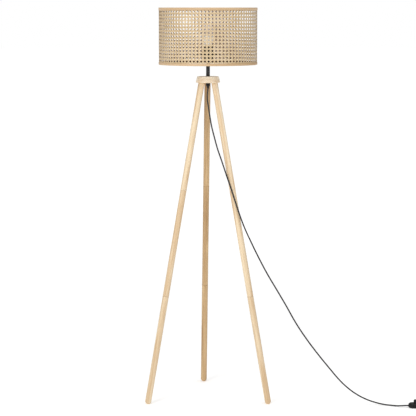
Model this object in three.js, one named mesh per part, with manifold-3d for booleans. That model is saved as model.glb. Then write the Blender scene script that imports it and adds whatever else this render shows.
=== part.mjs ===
// Tripod floor lamp: three jointed wooden legs under a turned hub, a short black stem, an E27 lampholder with
// its bulb, a drum shade of woven cane, and a black lead with a foot switch, a tied coil and a plug.
// Millimetres, +Z up. The floor is z = 0 and the front of the lamp faces -Y.
import * as THREE from 'three';
import { mergeVertices } from 'three/addons/utils/BufferGeometryUtils.js';
import Module from 'manifold-3d';

const wasm = await Module();
wasm.setup();

// ---------------------------------------------------------------- driving dimensions

const GAP = 0.3;                      // between pieces that touch
const TOTAL_HEIGHT = 1520;

const SHADE_RADIUS = 190;
const SHADE_HEIGHT = 218;
const BAND_HEIGHT = 10;
const BAND_WALL = 0.7;
const WEBBING_WALL = 1.4;
const WIRE_RADIUS = 2;
const SPIDER_RECESS = 39;             // the collar's height above the shade's lower edge
const SPIDER_AZIMUTHS = [90, 210, 330];
const COLLAR_RADIUS = 30;
const COLLAR_WALL = 1.6;

const HUB_BOTTOM = 1233;
const HUB_TOP = 1257;
const HUB_RADIUS_BOTTOM = 47;
const HUB_RADIUS_TOP = 42;
const HUB_EDGE = 2;
const NUT_POCKET_RADIUS = 10;
const NUT_POCKET_DEPTH = 8;
const NUT_ACROSS_FLATS = 14;
const NUT_THICKNESS = 4.6;
const WASHER_RADIUS = 9.5;
const WASHER_THICKNESS = 1.2;

const LEG_RADIUS = 12;
const LEG_SPLAY = THREE.MathUtils.degToRad(11);
const LEG_TOP_SPREAD = 29;            // from the lamp axis to a leg's axis at the hub's underside
const LEG_AZIMUTHS = { left: 210, right: 330, rear: 93.7 };
const LEG_JOINTS = [419, 835];        // down the leg from the hub's underside
const LEG_SEAT = 3;                   // the leg's socket, up its axis from the hub's underside
const LEG_ARRIS = 0.8;
const FOOT_FLAT_DEPTH = 0.6;          // how much of the round foot is flattened on the floor
const FLOOR_SLAB = [800, 800, 40];    // large enough to cut any foot level

const STUD_RADIUS = 4;
const STUD_REACH = 20;                // into each piece that a stud joins
const STUD_REACH_HUB = 14;
const STUD_CHAMFER = 0.8;

const ROD_RADIUS = 4.9;
const ROD_BORE = 3.4;
const ROD_HOLE = ROD_RADIUS + GAP;
const STEM_RADIUS = 7.5;
const STEM_WALL = 1.2;
const GLAND_RADIUS = 8.25;
const GLAND_BOTTOM = 1211.6;          // the end of its tapered tail, which keeps the cord from bending sharply
const GLAND_BELL = GLAND_BOTTOM + 6;

const HOLDER_BOTTOM = 1317;
const HOLDER_TOP = 1374;
const HOLDER_RADIUS = 19.5;
const HOLDER_CORE_RADIUS = 15.8;
const SCREW_SHELL_RADIUS = 13.5;      // inside
const SCREW_SHELL_WALL = 0.7;
const BULB_TIP = 1347.5;
const BULB_CAP_RADIUS = 13.2;
const BULB_CAP_HEIGHT = 27.5;         // from the tip to the cap's upper edge
const BULB_RADIUS = 30;
const BULB_CENTRE = 1425;
const BULB_RIM = BULB_CENTRE - 13;    // where the housing meets the diffuser
const LED_BOARD_RADIUS = 23;
const LED_BOARD_THICKNESS = 1.6;

const CORD_RADIUS = 2.8;
const CORD_HOLE = CORD_RADIUS + GAP;

const SWITCH_CENTRE = [798.5, -195];
const SWITCH_HALF_LENGTH = 33;
const SWITCH_HALF_WIDTH = 19;
const SWITCH_HEIGHT = 19.5;
const SWITCH_EDGE = [8, 8.5];         // how far the body's rounded edge reaches inwards, and how high
const SWITCH_WALL = 1.8;
const SWITCH_ENTRY_Z = 8.6;           // the cord's height where it enters the switch, on its parting line
const SWITCH_MODULE = [22, 12, 7.4];
const SWITCH_SCREW_RADIUS = 1.5;
const SWITCH_SCREWS = { left: [-18, 9], right: [18, -9] };
const BUTTON_RADIUS = 12.2;
const SPRING_RADIUS = 6;
const SPRING_TURNS = 4;
const SPRING_WIRE = 0.6;
const SPRING_REST = [10.6, 27.4];     // the heights of its wire's two ends

const COIL_CENTRE = [890, -163.1];
const COIL_INNER = 23.2;
const COIL_OUTER = 35;
const COIL_BOTTOM = 1.3;              // the coil lies on its tie
const COIL_TOP = 13.1;
const TIE_WIDTH = 7;
const TIE_THICKNESS = 0.9;

const PLUG_TAIL = [921.9, -128];      // where the cord enters the plug's sleeve; the plug points along +Y
const PLUG_AXIS_Z = 7;
const PLUG_BEVEL = 3;
const PLUG_FACE = 60;                 // from the sleeve's end to the face that the pins stand on
const PIN_RADIUS = 2;
const PIN_OFFSET = 9.3;
const PIN_ENDS = [52.4, 79];

// ---------------------------------------------------------------- materials

function material(color, roughness, metalness = 0) {
  return new THREE.MeshStandardMaterial({ color, roughness, metalness });
}

const wood = material(0xe6d0ae, 0.6);
const woodRear = material(0xd2ae80, 0.6);
const steel = material(0xb0b2b4, 0.35, 1);
const brass = material(0xc9a24a, 0.35, 1);
const blackMetal = material(0x222224, 0.42, 0.3);
const blackPlastic = material(0x1b1b1d, 0.45);
const blackCord = material(0x1d1d1f, 0.5);
const whitePlastic = material(0xe9e8e4, 0.4);
const frosted = material(0xf2f0ea, 0.5);
const cane = material(0xd9c193, 0.65);
const bandWood = material(0xd3b585, 0.6);

// ---------------------------------------------------------------- shape helpers

// Merge shared vertices, and drop the triangles that closed up where a profile meets the axis.
function weld(geometry) {
  const plain = geometry.clone();
  plain.deleteAttribute('normal');
  plain.deleteAttribute('uv');
  const merged = mergeVertices(plain, 1e-4);
  const index = merged.index.array;
  const kept = [];
  for (let i = 0; i < index.length; i += 3) {
    const [a, b, c] = [index[i], index[i + 1], index[i + 2]];
    if (a !== b && b !== c && c !== a) kept.push(a, b, c);
  }
  merged.setIndex(kept);
  return merged;
}

function solid(geometry) {
  const welded = weld(geometry);
  return new wasm.Manifold(new wasm.Mesh({
    numProp: 3,
    vertProperties: new Float32Array(welded.attributes.position.array),
    triVerts: new Uint32Array(welded.index.array),
  }));
}

function geometryOf(manifold) {
  const mesh = manifold.getMesh();
  const geometry = new THREE.BufferGeometry();
  geometry.setAttribute('position', new THREE.BufferAttribute(mesh.vertProperties, 3));
  geometry.setIndex(new THREE.BufferAttribute(mesh.triVerts, 1));
  return geometry;
}

// Join the first geometry with the added ones, then cut the others out of it.
function carve(base, { add = [], cut = [] }) {
  let shape = solid(base);
  for (const other of add) shape = shape.add(solid(other));
  for (const other of cut) shape = shape.subtract(solid(other));
  return geometryOf(shape);
}

// A turned solid about the Z axis. The profile lists [radius, z] anticlockwise: out along the bottom, up the
// outside and in along the top. It starts and ends on the axis, or the ring variant closes it on itself.
function turned(profile, segments) {
  const points = profile.map(([radius, z]) => new THREE.Vector2(radius, z));
  const geometry = new THREE.LatheGeometry(points, segments);
  geometry.rotateX(Math.PI / 2);
  return weld(geometry);
}

function turnedRing(profile, segments) {
  return turned([...profile, profile[0]], segments);
}

function sleeve(inner, outer, bottom, top, segments) {
  return turnedRing([[inner, bottom], [outer, bottom], [outer, top], [inner, top]], segments);
}

function cylinder(radius, bottom, top, segments) {
  return turned([[0, bottom], [radius, bottom], [radius, top], [0, top]], segments);
}

// Points of an arc in the [radius, z] half plane, from one angle to another in degrees.
function arc(radius, z, size, from, to, steps) {
  const points = [];
  for (let i = 0; i <= steps; i += 1) {
    const angle = THREE.MathUtils.degToRad(from + ((to - from) * i) / steps);
    points.push([radius + size * Math.cos(angle), z + size * Math.sin(angle)]);
  }
  return points;
}

function wireRing(radius, z, wire) {
  return turned(arc(radius, z, wire, 0, 360, WIRE_SIDES), SHADE_SIDES);
}

// A round bar along a smooth curve through the given points.
function bar(points, radius, sides, steps) {
  const path = new THREE.CatmullRomCurve3(points.map((p) => new THREE.Vector3(...p)), false, 'centripetal');
  const corners = [];
  for (let i = 0; i < sides; i += 1) {
    const angle = (2 * Math.PI * i) / sides;
    corners.push(new THREE.Vector2(radius * Math.cos(angle), radius * Math.sin(angle)));
  }
  const section = new THREE.Shape(corners);
  return new THREE.ExtrudeGeometry(section, { steps, bevelEnabled: false, extrudePath: path });
}

function hexPrism(acrossFlats, bottom, top) {
  return cylinder(acrossFlats / Math.sqrt(3), bottom, top, 6);
}

function piece(parent, name, geometry, look) {
  const mesh = new THREE.Mesh(geometry, look);
  mesh.name = name;
  parent.add(mesh);
  return mesh;
}

// ---------------------------------------------------------------- legs

// A group whose origin is on the leg's axis at the hub's underside, and whose +Z runs up the leg.
function legPlace(azimuth) {
  const around = THREE.MathUtils.degToRad(azimuth);
  const place = new THREE.Group();
  place.position.set(LEG_TOP_SPREAD * Math.cos(around), LEG_TOP_SPREAD * Math.sin(around), HUB_BOTTOM);
  place.rotation.set(0, -LEG_SPLAY, around, 'ZYX');
  place.updateMatrixWorld(true);
  return place;
}

const STUD_HOLE = STUD_RADIUS + GAP;
const LEG_SIDES = 18;
const STUD_SIDES = 9;
const NUT_POCKET_TOP = HUB_BOTTOM + NUT_POCKET_DEPTH;
const GLAND_SHOULDER = GLAND_BELL + 8.4;

// The end of a section with its stud hole, as the profile's points from the axis to the outside.
function jointEnd(z, inward, reach) {
  const depth = z + inward * (reach + GAP);
  return [[0, depth], [STUD_HOLE, depth], [STUD_HOLE, z], [LEG_RADIUS - LEG_ARRIS, z],
    [LEG_RADIUS, z + inward * LEG_ARRIS]];
}

function legSection(bottom, top) {
  const lower = jointEnd(bottom, 1, STUD_REACH);
  const upper = jointEnd(top, -1, STUD_REACH).reverse();
  return turned([...lower, ...upper], LEG_SIDES);
}

function footSection(top) {
  const centreHeight = LEG_RADIUS - FOOT_FLAT_DEPTH;
  const centre = -(HUB_BOTTOM - centreHeight) / Math.cos(LEG_SPLAY);
  const round = arc(0, centre, LEG_RADIUS, -90, 0, 5);
  round[0][0] = 0;
  const section = turned([...round, ...jointEnd(top, -1, STUD_REACH).reverse()], LEG_SIDES);
  const floor = new THREE.BoxGeometry(...FLOOR_SLAB).translate(0, 0, -FLOOR_SLAB[2] / 2);
  floor.applyMatrix4(legPlace(0).matrixWorld.clone().invert());
  return carve(section, { cut: [floor] });
}

function stud(bottom, top) {
  const tip = STUD_RADIUS - STUD_CHAMFER;
  const profile = [[0, bottom], [tip, bottom], [STUD_RADIUS, bottom + STUD_CHAMFER],
    [STUD_RADIUS, top - STUD_CHAMFER], [tip, top], [0, top]];
  return turned(profile, STUD_SIDES);
}

function addLeg(parent, side, azimuth) {
  const leg = legPlace(azimuth);
  parent.add(leg);
  const look = side === 'rear' ? woodRear : wood;
  const [first, second] = LEG_JOINTS.map((distance) => -distance);
  const half = GAP / 2;
  piece(leg, `leg_upper_${side}`, legSection(first + half, LEG_SEAT - GAP), look);
  piece(leg, `leg_middle_${side}`, legSection(second + half, first - half), look);
  piece(leg, `leg_lower_${side}`, footSection(second - half), look);
  piece(leg, `leg_top_stud_${side}`, stud(LEG_SEAT - GAP - STUD_REACH, LEG_SEAT + STUD_REACH_HUB), steel);
  piece(leg, `upper_joint_stud_${side}`, stud(first - STUD_REACH, first + STUD_REACH), steel);
  piece(leg, `lower_joint_stud_${side}`, stud(second - STUD_REACH, second + STUD_REACH), steel);
}

// ---------------------------------------------------------------- hub and stem

function hubBody() {
  const profile = [[ROD_HOLE, NUT_POCKET_TOP], [NUT_POCKET_RADIUS, NUT_POCKET_TOP],
    [NUT_POCKET_RADIUS, HUB_BOTTOM],
    ...arc(HUB_RADIUS_BOTTOM - HUB_EDGE, HUB_BOTTOM + HUB_EDGE, HUB_EDGE, -90, 0, 2),
    ...arc(HUB_RADIUS_TOP - HUB_EDGE, HUB_TOP - HUB_EDGE, HUB_EDGE, 0, 90, 2),
    [ROD_HOLE, HUB_TOP]];
  const sockets = [];
  for (const azimuth of Object.values(LEG_AZIMUTHS)) {
    const place = legPlace(azimuth).matrixWorld;
    sockets.push(cylinder(LEG_RADIUS + GAP, -30, LEG_SEAT, LEG_SIDES).applyMatrix4(place));
    sockets.push(cylinder(STUD_HOLE, -1, LEG_SEAT + STUD_REACH_HUB + GAP, STUD_SIDES).applyMatrix4(place));
  }
  return carve(turnedRing(profile, 36), { cut: sockets });
}

function glandBody() {
  const thread = GLAND_SHOULDER + 0.2;
  const top = HUB_BOTTOM + 1.3;
  const profile = [[CORD_HOLE, GLAND_BOTTOM], [3.8, GLAND_BOTTOM], [4.6, GLAND_BELL],
    [6.4, GLAND_BELL + 1.6], [7.6, GLAND_BELL + 4.2], [GLAND_RADIUS, GLAND_SHOULDER], [GLAND_RADIUS, top],
    [ROD_HOLE, top], [ROD_HOLE, thread], [CORD_HOLE, thread - 2]];
  return turnedRing(profile, 20);
}

function addHubAndStem(parent) {
  const washerTop = NUT_POCKET_TOP - GAP;
  const washerBottom = washerTop - WASHER_THICKNESS;
  const nutTop = washerBottom - GAP;
  const nutBottom = nutTop - NUT_THICKNESS;
  const nut = carve(hexPrism(NUT_ACROSS_FLATS, nutBottom, nutTop), {
    cut: [cylinder(ROD_HOLE, nutBottom - 1, nutTop + 1, 16)],
  });
  const rodBottom = GLAND_SHOULDER + 0.5;
  const rodTop = HOLDER_BOTTOM + 4;
  piece(parent, 'hub', hubBody(), wood);
  piece(parent, 'rod_washer', sleeve(ROD_HOLE, WASHER_RADIUS, washerBottom, washerTop, 20), steel);
  piece(parent, 'rod_nut', nut, steel);
  piece(parent, 'threaded_rod', sleeve(ROD_BORE, ROD_RADIUS, rodBottom, rodTop, 16), steel);
  piece(parent, 'stem_tube', sleeve(STEM_RADIUS - STEM_WALL, STEM_RADIUS, HUB_TOP + GAP,
    HOLDER_BOTTOM - GAP, 24), blackMetal);
  piece(parent, 'cord_gland', glandBody(), blackPlastic);
  piece(parent, 'inner_lead', cylinder(CORD_RADIUS, GLAND_BOTTOM + GAP, HOLDER_BOTTOM + 6, 10), blackCord);
}

// ---------------------------------------------------------------- lampholder and bulb

const COLLAR_BOTTOM = TOTAL_HEIGHT - SHADE_HEIGHT + SPIDER_RECESS - 1;
const COLLAR_TOP = COLLAR_BOTTOM + COLLAR_WALL;
const CORE_BOTTOM = HOLDER_BOTTOM + 9;
const CORE_TOP = HOLDER_BOTTOM + 26;
const CAP_TOP = HOLDER_BOTTOM + 20;
const TERMINAL_OFFSET = 9;
const TERMINAL_RADIUS = 1.5;
const TERMINAL_HEAD = [2.6, 2.9];     // its radius and height
const HOLDER_SIDES = 24;
const BULB_SIDES = 22;

function holderCap() {
  const z = HOLDER_BOTTOM;
  return turnedRing([[ROD_HOLE, z], [11, z], [16, z + 2], [19.2, z + 6.5], [20, z + 12], [20, CAP_TOP],
    [18, CAP_TOP], [18, z + 12.5], [17, z + 8], [14, z + 4.5], [ROD_HOLE, z + 3]], HOLDER_SIDES);
}

function holderShell() {
  const bottom = CAP_TOP + GAP;
  const shoulder = COLLAR_BOTTOM - GAP;
  const inside = 16.2;
  const flange = 25;
  return turnedRing([[inside, bottom], [flange, bottom], [flange, shoulder], [HOLDER_RADIUS, shoulder],
    [HOLDER_RADIUS, HOLDER_TOP - 2], [HOLDER_RADIUS - 1, HOLDER_TOP], [inside, HOLDER_TOP]], HOLDER_SIDES);
}

function ringNut() {
  const z = COLLAR_TOP + GAP;
  return turnedRing([[HOLDER_RADIUS + GAP, z], [28, z], [28, z + 2.6], [23, z + 3.6], [22.3, z + 8],
    [HOLDER_RADIUS + GAP, z + 8]], HOLDER_SIDES);
}

function terminalScrew() {
  const [headRadius, headHeight] = TERMINAL_HEAD;
  const seat = CORE_BOTTOM - GAP;
  const top = CORE_BOTTOM + 7;
  return turned([[0, seat - headHeight], [headRadius, seat - headHeight], [headRadius, seat],
    [TERMINAL_RADIUS, seat], [TERMINAL_RADIUS, top], [0, top]], 10);
}

// A springy strip from the core's top up to the bulb's tip.
function centreContact() {
  const width = 5;
  const strip = new THREE.Shape([[-7, 0], [0, 0], [4, 3.3], [4, 3.8], [-0.2, 0.5], [-7, 0.5]]
    .map(([x, z]) => new THREE.Vector2(x, z)));
  const contact = new THREE.ExtrudeGeometry(strip, { depth: width, bevelEnabled: false });
  return contact.rotateX(Math.PI / 2).translate(0, width / 2, CORE_TOP + GAP);
}

function addLampholder(parent) {
  const hole = cylinder(TERMINAL_RADIUS + GAP, CORE_BOTTOM - 1, CORE_BOTTOM + 8, 10);
  const holes = [-TERMINAL_OFFSET, TERMINAL_OFFSET].map((x) => hole.clone().translate(x, 0, 0));
  piece(parent, 'holder_cap', holderCap(), blackPlastic);
  piece(parent, 'holder_shell', holderShell(), blackPlastic);
  piece(parent, 'shade_ring_nut', ringNut(), blackPlastic);
  const core = cylinder(HOLDER_CORE_RADIUS, CORE_BOTTOM, CORE_TOP, HOLDER_SIDES);
  piece(parent, 'holder_core', carve(core, { cut: holes }), whitePlastic);
  piece(parent, 'screw_shell', sleeve(SCREW_SHELL_RADIUS, SCREW_SHELL_RADIUS + SCREW_SHELL_WALL,
    CORE_TOP + GAP, HOLDER_TOP - 4, HOLDER_SIDES), brass);
  piece(parent, 'centre_contact', centreContact(), brass);
  piece(parent, 'terminal_screw_left', terminalScrew(), steel).position.x = -TERMINAL_OFFSET;
  piece(parent, 'terminal_screw_right', terminalScrew(), steel).position.x = TERMINAL_OFFSET;
}

function bulbCap() {
  const tip = BULB_TIP;
  const top = tip + BULB_CAP_HEIGHT;
  const inside = BULB_CAP_RADIUS - 0.7;
  return turnedRing([[9.6, tip + 3.7], [12, tip + 4.2], [BULB_CAP_RADIUS, tip + 6.5], [BULB_CAP_RADIUS, top],
    [inside, top], [inside, tip + 6.8], [11.6, tip + 4.9], [9.6, tip + 4.5]], BULB_SIDES);
}

// A cone with a neck that plugs into the cap.
function bulbHousing() {
  const neck = BULB_TIP + 8.5;
  const seat = BULB_TIP + BULB_CAP_HEIGHT + GAP;
  const bulge = BULB_TIP + 53.5;
  return turnedRing([[11, neck], [12.2, neck], [12.2, seat], [14, seat], [14.4, seat + 4.7], [17, seat + 14.7],
    [21.6, bulge], [26.6, BULB_RIM], [25.4, BULB_RIM], [20.4, bulge], [15.8, seat + 14.7], [13, seat + 4.7],
    [11, seat - 1.3]], BULB_SIDES);
}

// A thin dome that widens past the housing's rim before it closes over the top.
function bulbDiffuser() {
  const below = -25;
  const wall = 1.2;
  const inner = arc(0, BULB_CENTRE, BULB_RADIUS - wall, 90, below, 6);
  const outer = arc(0, BULB_CENTRE, BULB_RADIUS, below, 90, 6);
  inner[0][0] = 0;
  outer[outer.length - 1][0] = 0;
  return turned([...inner, ...outer], BULB_SIDES);
}

function addBulb(parent) {
  const tip = BULB_TIP;
  const boardTop = BULB_RIM - 1.2;
  piece(parent, 'bulb_tip', turned([[0, tip], [3.5, tip], [4.6, tip + 1], [9.3, tip + 3.4], [9.3, tip + 5.5],
    [0, tip + 5.5]], BULB_SIDES), blackPlastic);
  piece(parent, 'bulb_cap', bulbCap(), brass);
  piece(parent, 'bulb_housing', bulbHousing(), whitePlastic);
  piece(parent, 'led_board', cylinder(LED_BOARD_RADIUS, boardTop - LED_BOARD_THICKNESS, boardTop, BULB_SIDES),
    whitePlastic);
  piece(parent, 'bulb_diffuser', bulbDiffuser(), frosted);
}

// ---------------------------------------------------------------- shade

const SHADE_TOP = TOTAL_HEIGHT;
const SHADE_BOTTOM = TOTAL_HEIGHT - SHADE_HEIGHT;
const WEBBING_RADIUS = SHADE_RADIUS - BAND_WALL - GAP;
const WIRE_RING_RADIUS = WEBBING_RADIUS - WEBBING_WALL - GAP - WIRE_RADIUS;
const WIRE_INSET = BAND_WALL + GAP + WIRE_RADIUS;
const SHADE_SIDES = 40;
const WIRE_SIDES = 6;

// A trim band: a thin outer wall with a lip that turns in over the webbing's edge and the wire ring.
function band(edge, inward) {
  const lipInner = WIRE_RING_RADIUS - WIRE_RADIUS;
  const wall = SHADE_RADIUS - BAND_WALL;
  const profile = [[lipInner, edge], [SHADE_RADIUS, edge], [SHADE_RADIUS, edge + inward * BAND_HEIGHT],
    [wall, edge + inward * BAND_HEIGHT], [wall, edge + inward * BAND_WALL],
    [lipInner, edge + inward * BAND_WALL]];
  return turnedRing(inward > 0 ? profile : profile.reverse(), SHADE_SIDES);
}

// The collar that sits on the lampholder, three arms and the lower wire ring, welded into one piece.
function spider() {
  const ringZ = SHADE_BOTTOM + WIRE_INSET;
  const collar = sleeve(HOLDER_RADIUS + 0.8, COLLAR_RADIUS, COLLAR_BOTTOM, COLLAR_TOP, 24);
  const middle = (COLLAR_BOTTOM + COLLAR_TOP) / 2;
  const start = COLLAR_RADIUS - 1.4;
  const arms = [];
  for (const azimuth of SPIDER_AZIMUTHS) {
    const arm = bar([[start, 0, middle], [40, 0, middle], [56, 0, middle - 2.4], [WIRE_RING_RADIUS, 0, ringZ]],
      WIRE_RADIUS, WIRE_SIDES, 7);
    arm.rotateZ(THREE.MathUtils.degToRad(azimuth));
    arms.push(arm);
  }
  return carve(collar, { add: [wireRing(WIRE_RING_RADIUS, ringZ, WIRE_RADIUS), ...arms] });
}

function addShade(parent) {
  const webbing = sleeve(WEBBING_RADIUS - WEBBING_WALL, WEBBING_RADIUS, SHADE_BOTTOM + BAND_WALL + GAP,
    SHADE_TOP - BAND_WALL - GAP, SHADE_SIDES);
  piece(parent, 'shade_webbing', webbing, cane);
  piece(parent, 'shade_top_ring', wireRing(WIRE_RING_RADIUS, SHADE_TOP - WIRE_INSET, WIRE_RADIUS),
    blackMetal);
  piece(parent, 'shade_spider', spider(), blackMetal);
  piece(parent, 'shade_top_band', band(SHADE_TOP, -1), bandWood);
  piece(parent, 'shade_bottom_band', band(SHADE_BOTTOM, 1), bandWood);
}

// ---------------------------------------------------------------- foot switch

// The switch body's rounded outside, or its hollow inside when shrunk by the wall.
function pebble(shrink) {
  const [inwards, rise] = SWITCH_EDGE;
  const end = SWITCH_HALF_WIDTH - inwards;
  const reach = SWITCH_HALF_LENGTH - SWITCH_HALF_WIDTH;
  const outline = new THREE.Shape();
  outline.absarc(reach, 0, end, -Math.PI / 2, Math.PI / 2, false);
  outline.absarc(-reach, 0, end, Math.PI / 2, (3 * Math.PI) / 2, false);
  const geometry = new THREE.ExtrudeGeometry(outline, {
    depth: SWITCH_HEIGHT - 2 * rise,
    curveSegments: 6,
    bevelThickness: rise - shrink,
    bevelSize: inwards - shrink,
    bevelSegments: 3,
  });
  return geometry.translate(0, 0, rise);
}

function slab(bottom, top) {
  return new THREE.BoxGeometry(100, 100, top - bottom).translate(0, 0, (bottom + top) / 2);
}

// One upright cylinder at each of the switch's two screws.
function atScrews(radius, bottom, top, segments) {
  const upright = cylinder(radius, bottom, top, segments);
  return Object.values(SWITCH_SCREWS).map(([x, y]) => upright.clone().translate(x, y, 0));
}

function cordHoles() {
  return [-1, 1].map((side) => {
    const hole = cylinder(CORD_HOLE, -8, 8, 12).rotateY(Math.PI / 2);
    return hole.translate(side * (SWITCH_HALF_LENGTH - 2), 0, SWITCH_ENTRY_Z);
  });
}

const SCREW_BORE = SWITCH_SCREW_RADIUS + GAP;
const SCREW_SIDES = 10;
const BOSS_SIDES = 14;

// The shell below the parting line, with a boss round each screw and a pocket for its head.
function switchBase() {
  const above = slab(SWITCH_ENTRY_Z - GAP / 2, SWITCH_HEIGHT + 1);
  const shell = carve(pebble(0), { cut: [pebble(SWITCH_WALL), above] });
  const heads = atScrews(3.1, -1, 2.2, BOSS_SIDES);
  const shanks = atScrews(SCREW_BORE, 0, 5, SCREW_SIDES);
  return carve(shell, {
    add: atScrews(4, SWITCH_WALL - GAP, 4.1, BOSS_SIDES),
    cut: [...heads, ...shanks, ...cordHoles()],
  });
}

// The shell above the parting line, with a post over each screw and the button's opening.
function switchCover() {
  const below = slab(-1, SWITCH_ENTRY_Z + GAP / 2);
  const shell = carve(pebble(0), { cut: [pebble(SWITCH_WALL), below] });
  const opening = cylinder(BUTTON_RADIUS + GAP, 10, 30, 24);
  return carve(shell, {
    add: atScrews(3.2, 4.4, SWITCH_HEIGHT - 1, BOSS_SIDES),
    cut: [...atScrews(SCREW_BORE, 4, 13, SCREW_SIDES), opening, ...cordHoles()],
  });
}

// A domed cap with a flange that keeps it under the cover.
function switchButton() {
  const inside = BUTTON_RADIUS - 2.4;
  const flange = 14;
  return turned([[0, 28.5], [8.5, 28.5], [inside, 27], [inside, 14.8], [flange, 14.8], [flange, 16.3],
    [BUTTON_RADIUS, 16.3], [BUTTON_RADIUS, 28], [11.5, 30], [9.5, 31.4], [6, 32], [0, 32.2]], 24);
}

function switchSpring() {
  const stepsPerTurn = 8;
  const [low, high] = SPRING_REST;
  const points = [];
  for (let i = 0; i <= SPRING_TURNS * stepsPerTurn; i += 1) {
    const angle = (2 * Math.PI * i) / stepsPerTurn;
    const z = low + ((high - low) * i) / (SPRING_TURNS * stepsPerTurn);
    points.push([SPRING_RADIUS * Math.cos(angle), SPRING_RADIUS * Math.sin(angle), z]);
  }
  return bar(points, SPRING_WIRE, 4, SPRING_TURNS * (stepsPerTurn + 1));
}

function switchScrew() {
  const headRadius = 2.8;
  const [bottom, seat, top] = [0.6, 1.9, 12];
  return turned([[0, bottom], [headRadius, bottom], [headRadius, seat], [SWITCH_SCREW_RADIUS, seat],
    [SWITCH_SCREW_RADIUS, top], [0, top]], SCREW_SIDES);
}

function addSwitch(parent) {
  const group = new THREE.Group();
  group.position.set(...SWITCH_CENTRE, 0);
  parent.add(group);
  const moduleBottom = SWITCH_WALL + GAP;
  const switchModule = new THREE.BoxGeometry(...SWITCH_MODULE);
  piece(group, 'switch_base', switchBase(), blackPlastic);
  piece(group, 'switch_cover', switchCover(), blackPlastic);
  piece(group, 'switch_button', switchButton(), blackPlastic);
  piece(group, 'switch_module', switchModule, whitePlastic).position.z = moduleBottom + SWITCH_MODULE[2] / 2;
  piece(group, 'switch_spring', switchSpring(), steel);
  for (const [side, [x, y]] of Object.entries(SWITCH_SCREWS)) {
    piece(group, `switch_screw_${side}`, switchScrew(), steel).position.set(x, y, 0);
  }
}

// ---------------------------------------------------------------- cord, coil and plug

// The cord's route from the gland to the foot switch. It leans on the right leg, then runs down to the floor.
const DROP_ROUTE = [
  [0, 0, 1211.4], [-0.6, -0.2, 1204], [-2.2, -1.4, 1190], [-2.6, -4, 1168], [0.6, -8, 1146], [6.2, -16, 1110],
  [13, -27, 1070], [23, -40, 1030], [37, -52, 980], [54, -60, 931], [71, -65, 880], [88.5, -69.4, 829],
  [109, -74.5, 767], [137, -82, 688], [165, -88, 626], [195.5, -94, 564], [228, -100, 503], [265, -106, 441],
  [301, -111, 380], [336, -116, 318], [377, -121, 256], [423, -127, 195], [473, -133, 134], [502, -136.5, 100],
  [535, -140, 68], [572, -144, 41], [610, -148.5, 22], [648, -153, 9.5], [680, -157.5, 3.6], [700, -163, 2.8],
  [718, -173, 3.2], [732, -184, 5], [741, -191, 7.4], [748.5, -194.6, 8.5], [756, -195, 8.6],
  [769.5, -195, 8.6],
];

const TAIL_ROUTE = [
  [827.5, -195, 8.6], [834, -195, 8.6], [845, -195, 7.4], [856, -195, 5.4], [866, -195, 4.3], [882, -195, 4.1],
];

const END_ROUTE = [
  [921.9, -152, 10.3], [921.9, -145, 9.7], [921.9, -138, 8.3], [921.9, -131, 7.2], [921.9, -125, 7],
];

function coilRing(grow) {
  const inner = COIL_INNER - grow;
  const outer = COIL_OUTER + grow;
  const bottom = COIL_BOTTOM - grow;
  const top = COIL_TOP + grow;
  const soft = 2;
  const ring = turnedRing([[inner + soft, bottom], [outer - soft, bottom], [outer, bottom + soft],
    [outer, top - soft], [outer - soft, top], [inner + soft, top], [inner, top - soft],
    [inner, bottom + soft]], 28);
  return ring.translate(...COIL_CENTRE, 0);
}

// A flat strap round the coil's turns, on its far side.
function coilTie() {
  const [near, far] = [COIL_INNER - 0.7, COIL_OUTER + 0.4];
  const [low, high] = [COIL_BOTTOM - GAP, COIL_TOP + GAP];
  const wall = TIE_THICKNESS;
  const outline = new THREE.Shape([
    [near - wall, low - wall], [far + wall, low - wall], [far + wall, high + wall], [near - wall, high + wall],
  ].map(([y, z]) => new THREE.Vector2(y, z)));
  outline.holes.push(new THREE.Path([[near, low], [near, high], [far, high], [far, low]]
    .map(([y, z]) => new THREE.Vector2(y, z))));
  const strap = new THREE.ExtrudeGeometry(outline, { depth: TIE_WIDTH, bevelEnabled: false });
  const outwards = new THREE.Vector3(0, 1, 0);
  const upwards = new THREE.Vector3(0, 0, 1);
  const alongCoil = new THREE.Vector3(1, 0, 0);
  strap.applyMatrix4(new THREE.Matrix4().makeBasis(outwards, upwards, alongCoil));
  return strap.translate(COIL_CENTRE[0] - TIE_WIDTH / 2, COIL_CENTRE[1], 0);
}

// The plug lies flat and points along +Y from the end of its strain sleeve.
function plugBody() {
  const sleeveProfile = [[0, 0], [4.2, 0], [4.4, 6], [5, 16], [5.8, 26], [0, 26]];
  const strainSleeve = turned(sleeveProfile, 16).rotateX(-Math.PI / 2);
  const front = PLUG_FACE - PLUG_BEVEL;
  const outline = new THREE.Shape([[-4.5, 24], [4.5, 24], [14, 38], [14, front], [-14, front], [-14, 38]]
    .map(([x, y]) => new THREE.Vector2(x, y)));
  const head = new THREE.ExtrudeGeometry(outline, {
    depth: 2 * (PLUG_AXIS_Z - PLUG_BEVEL),
    bevelThickness: PLUG_BEVEL,
    bevelSize: PLUG_BEVEL,
    bevelSegments: 3,
  });
  head.translate(0, 0, PLUG_BEVEL - PLUG_AXIS_Z);
  const cordBore = cylinder(CORD_HOLE, -1, 4, 12).rotateX(-Math.PI / 2);
  const pinBore = cylinder(PIN_RADIUS + GAP, PIN_ENDS[0] - GAP, PLUG_FACE + 1, 12).rotateX(-Math.PI / 2);
  const bores = [-PIN_OFFSET, PIN_OFFSET].map((x) => pinBore.clone().translate(x, 0, 0));
  return carve(head, { add: [strainSleeve], cut: [cordBore, ...bores] });
}

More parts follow.
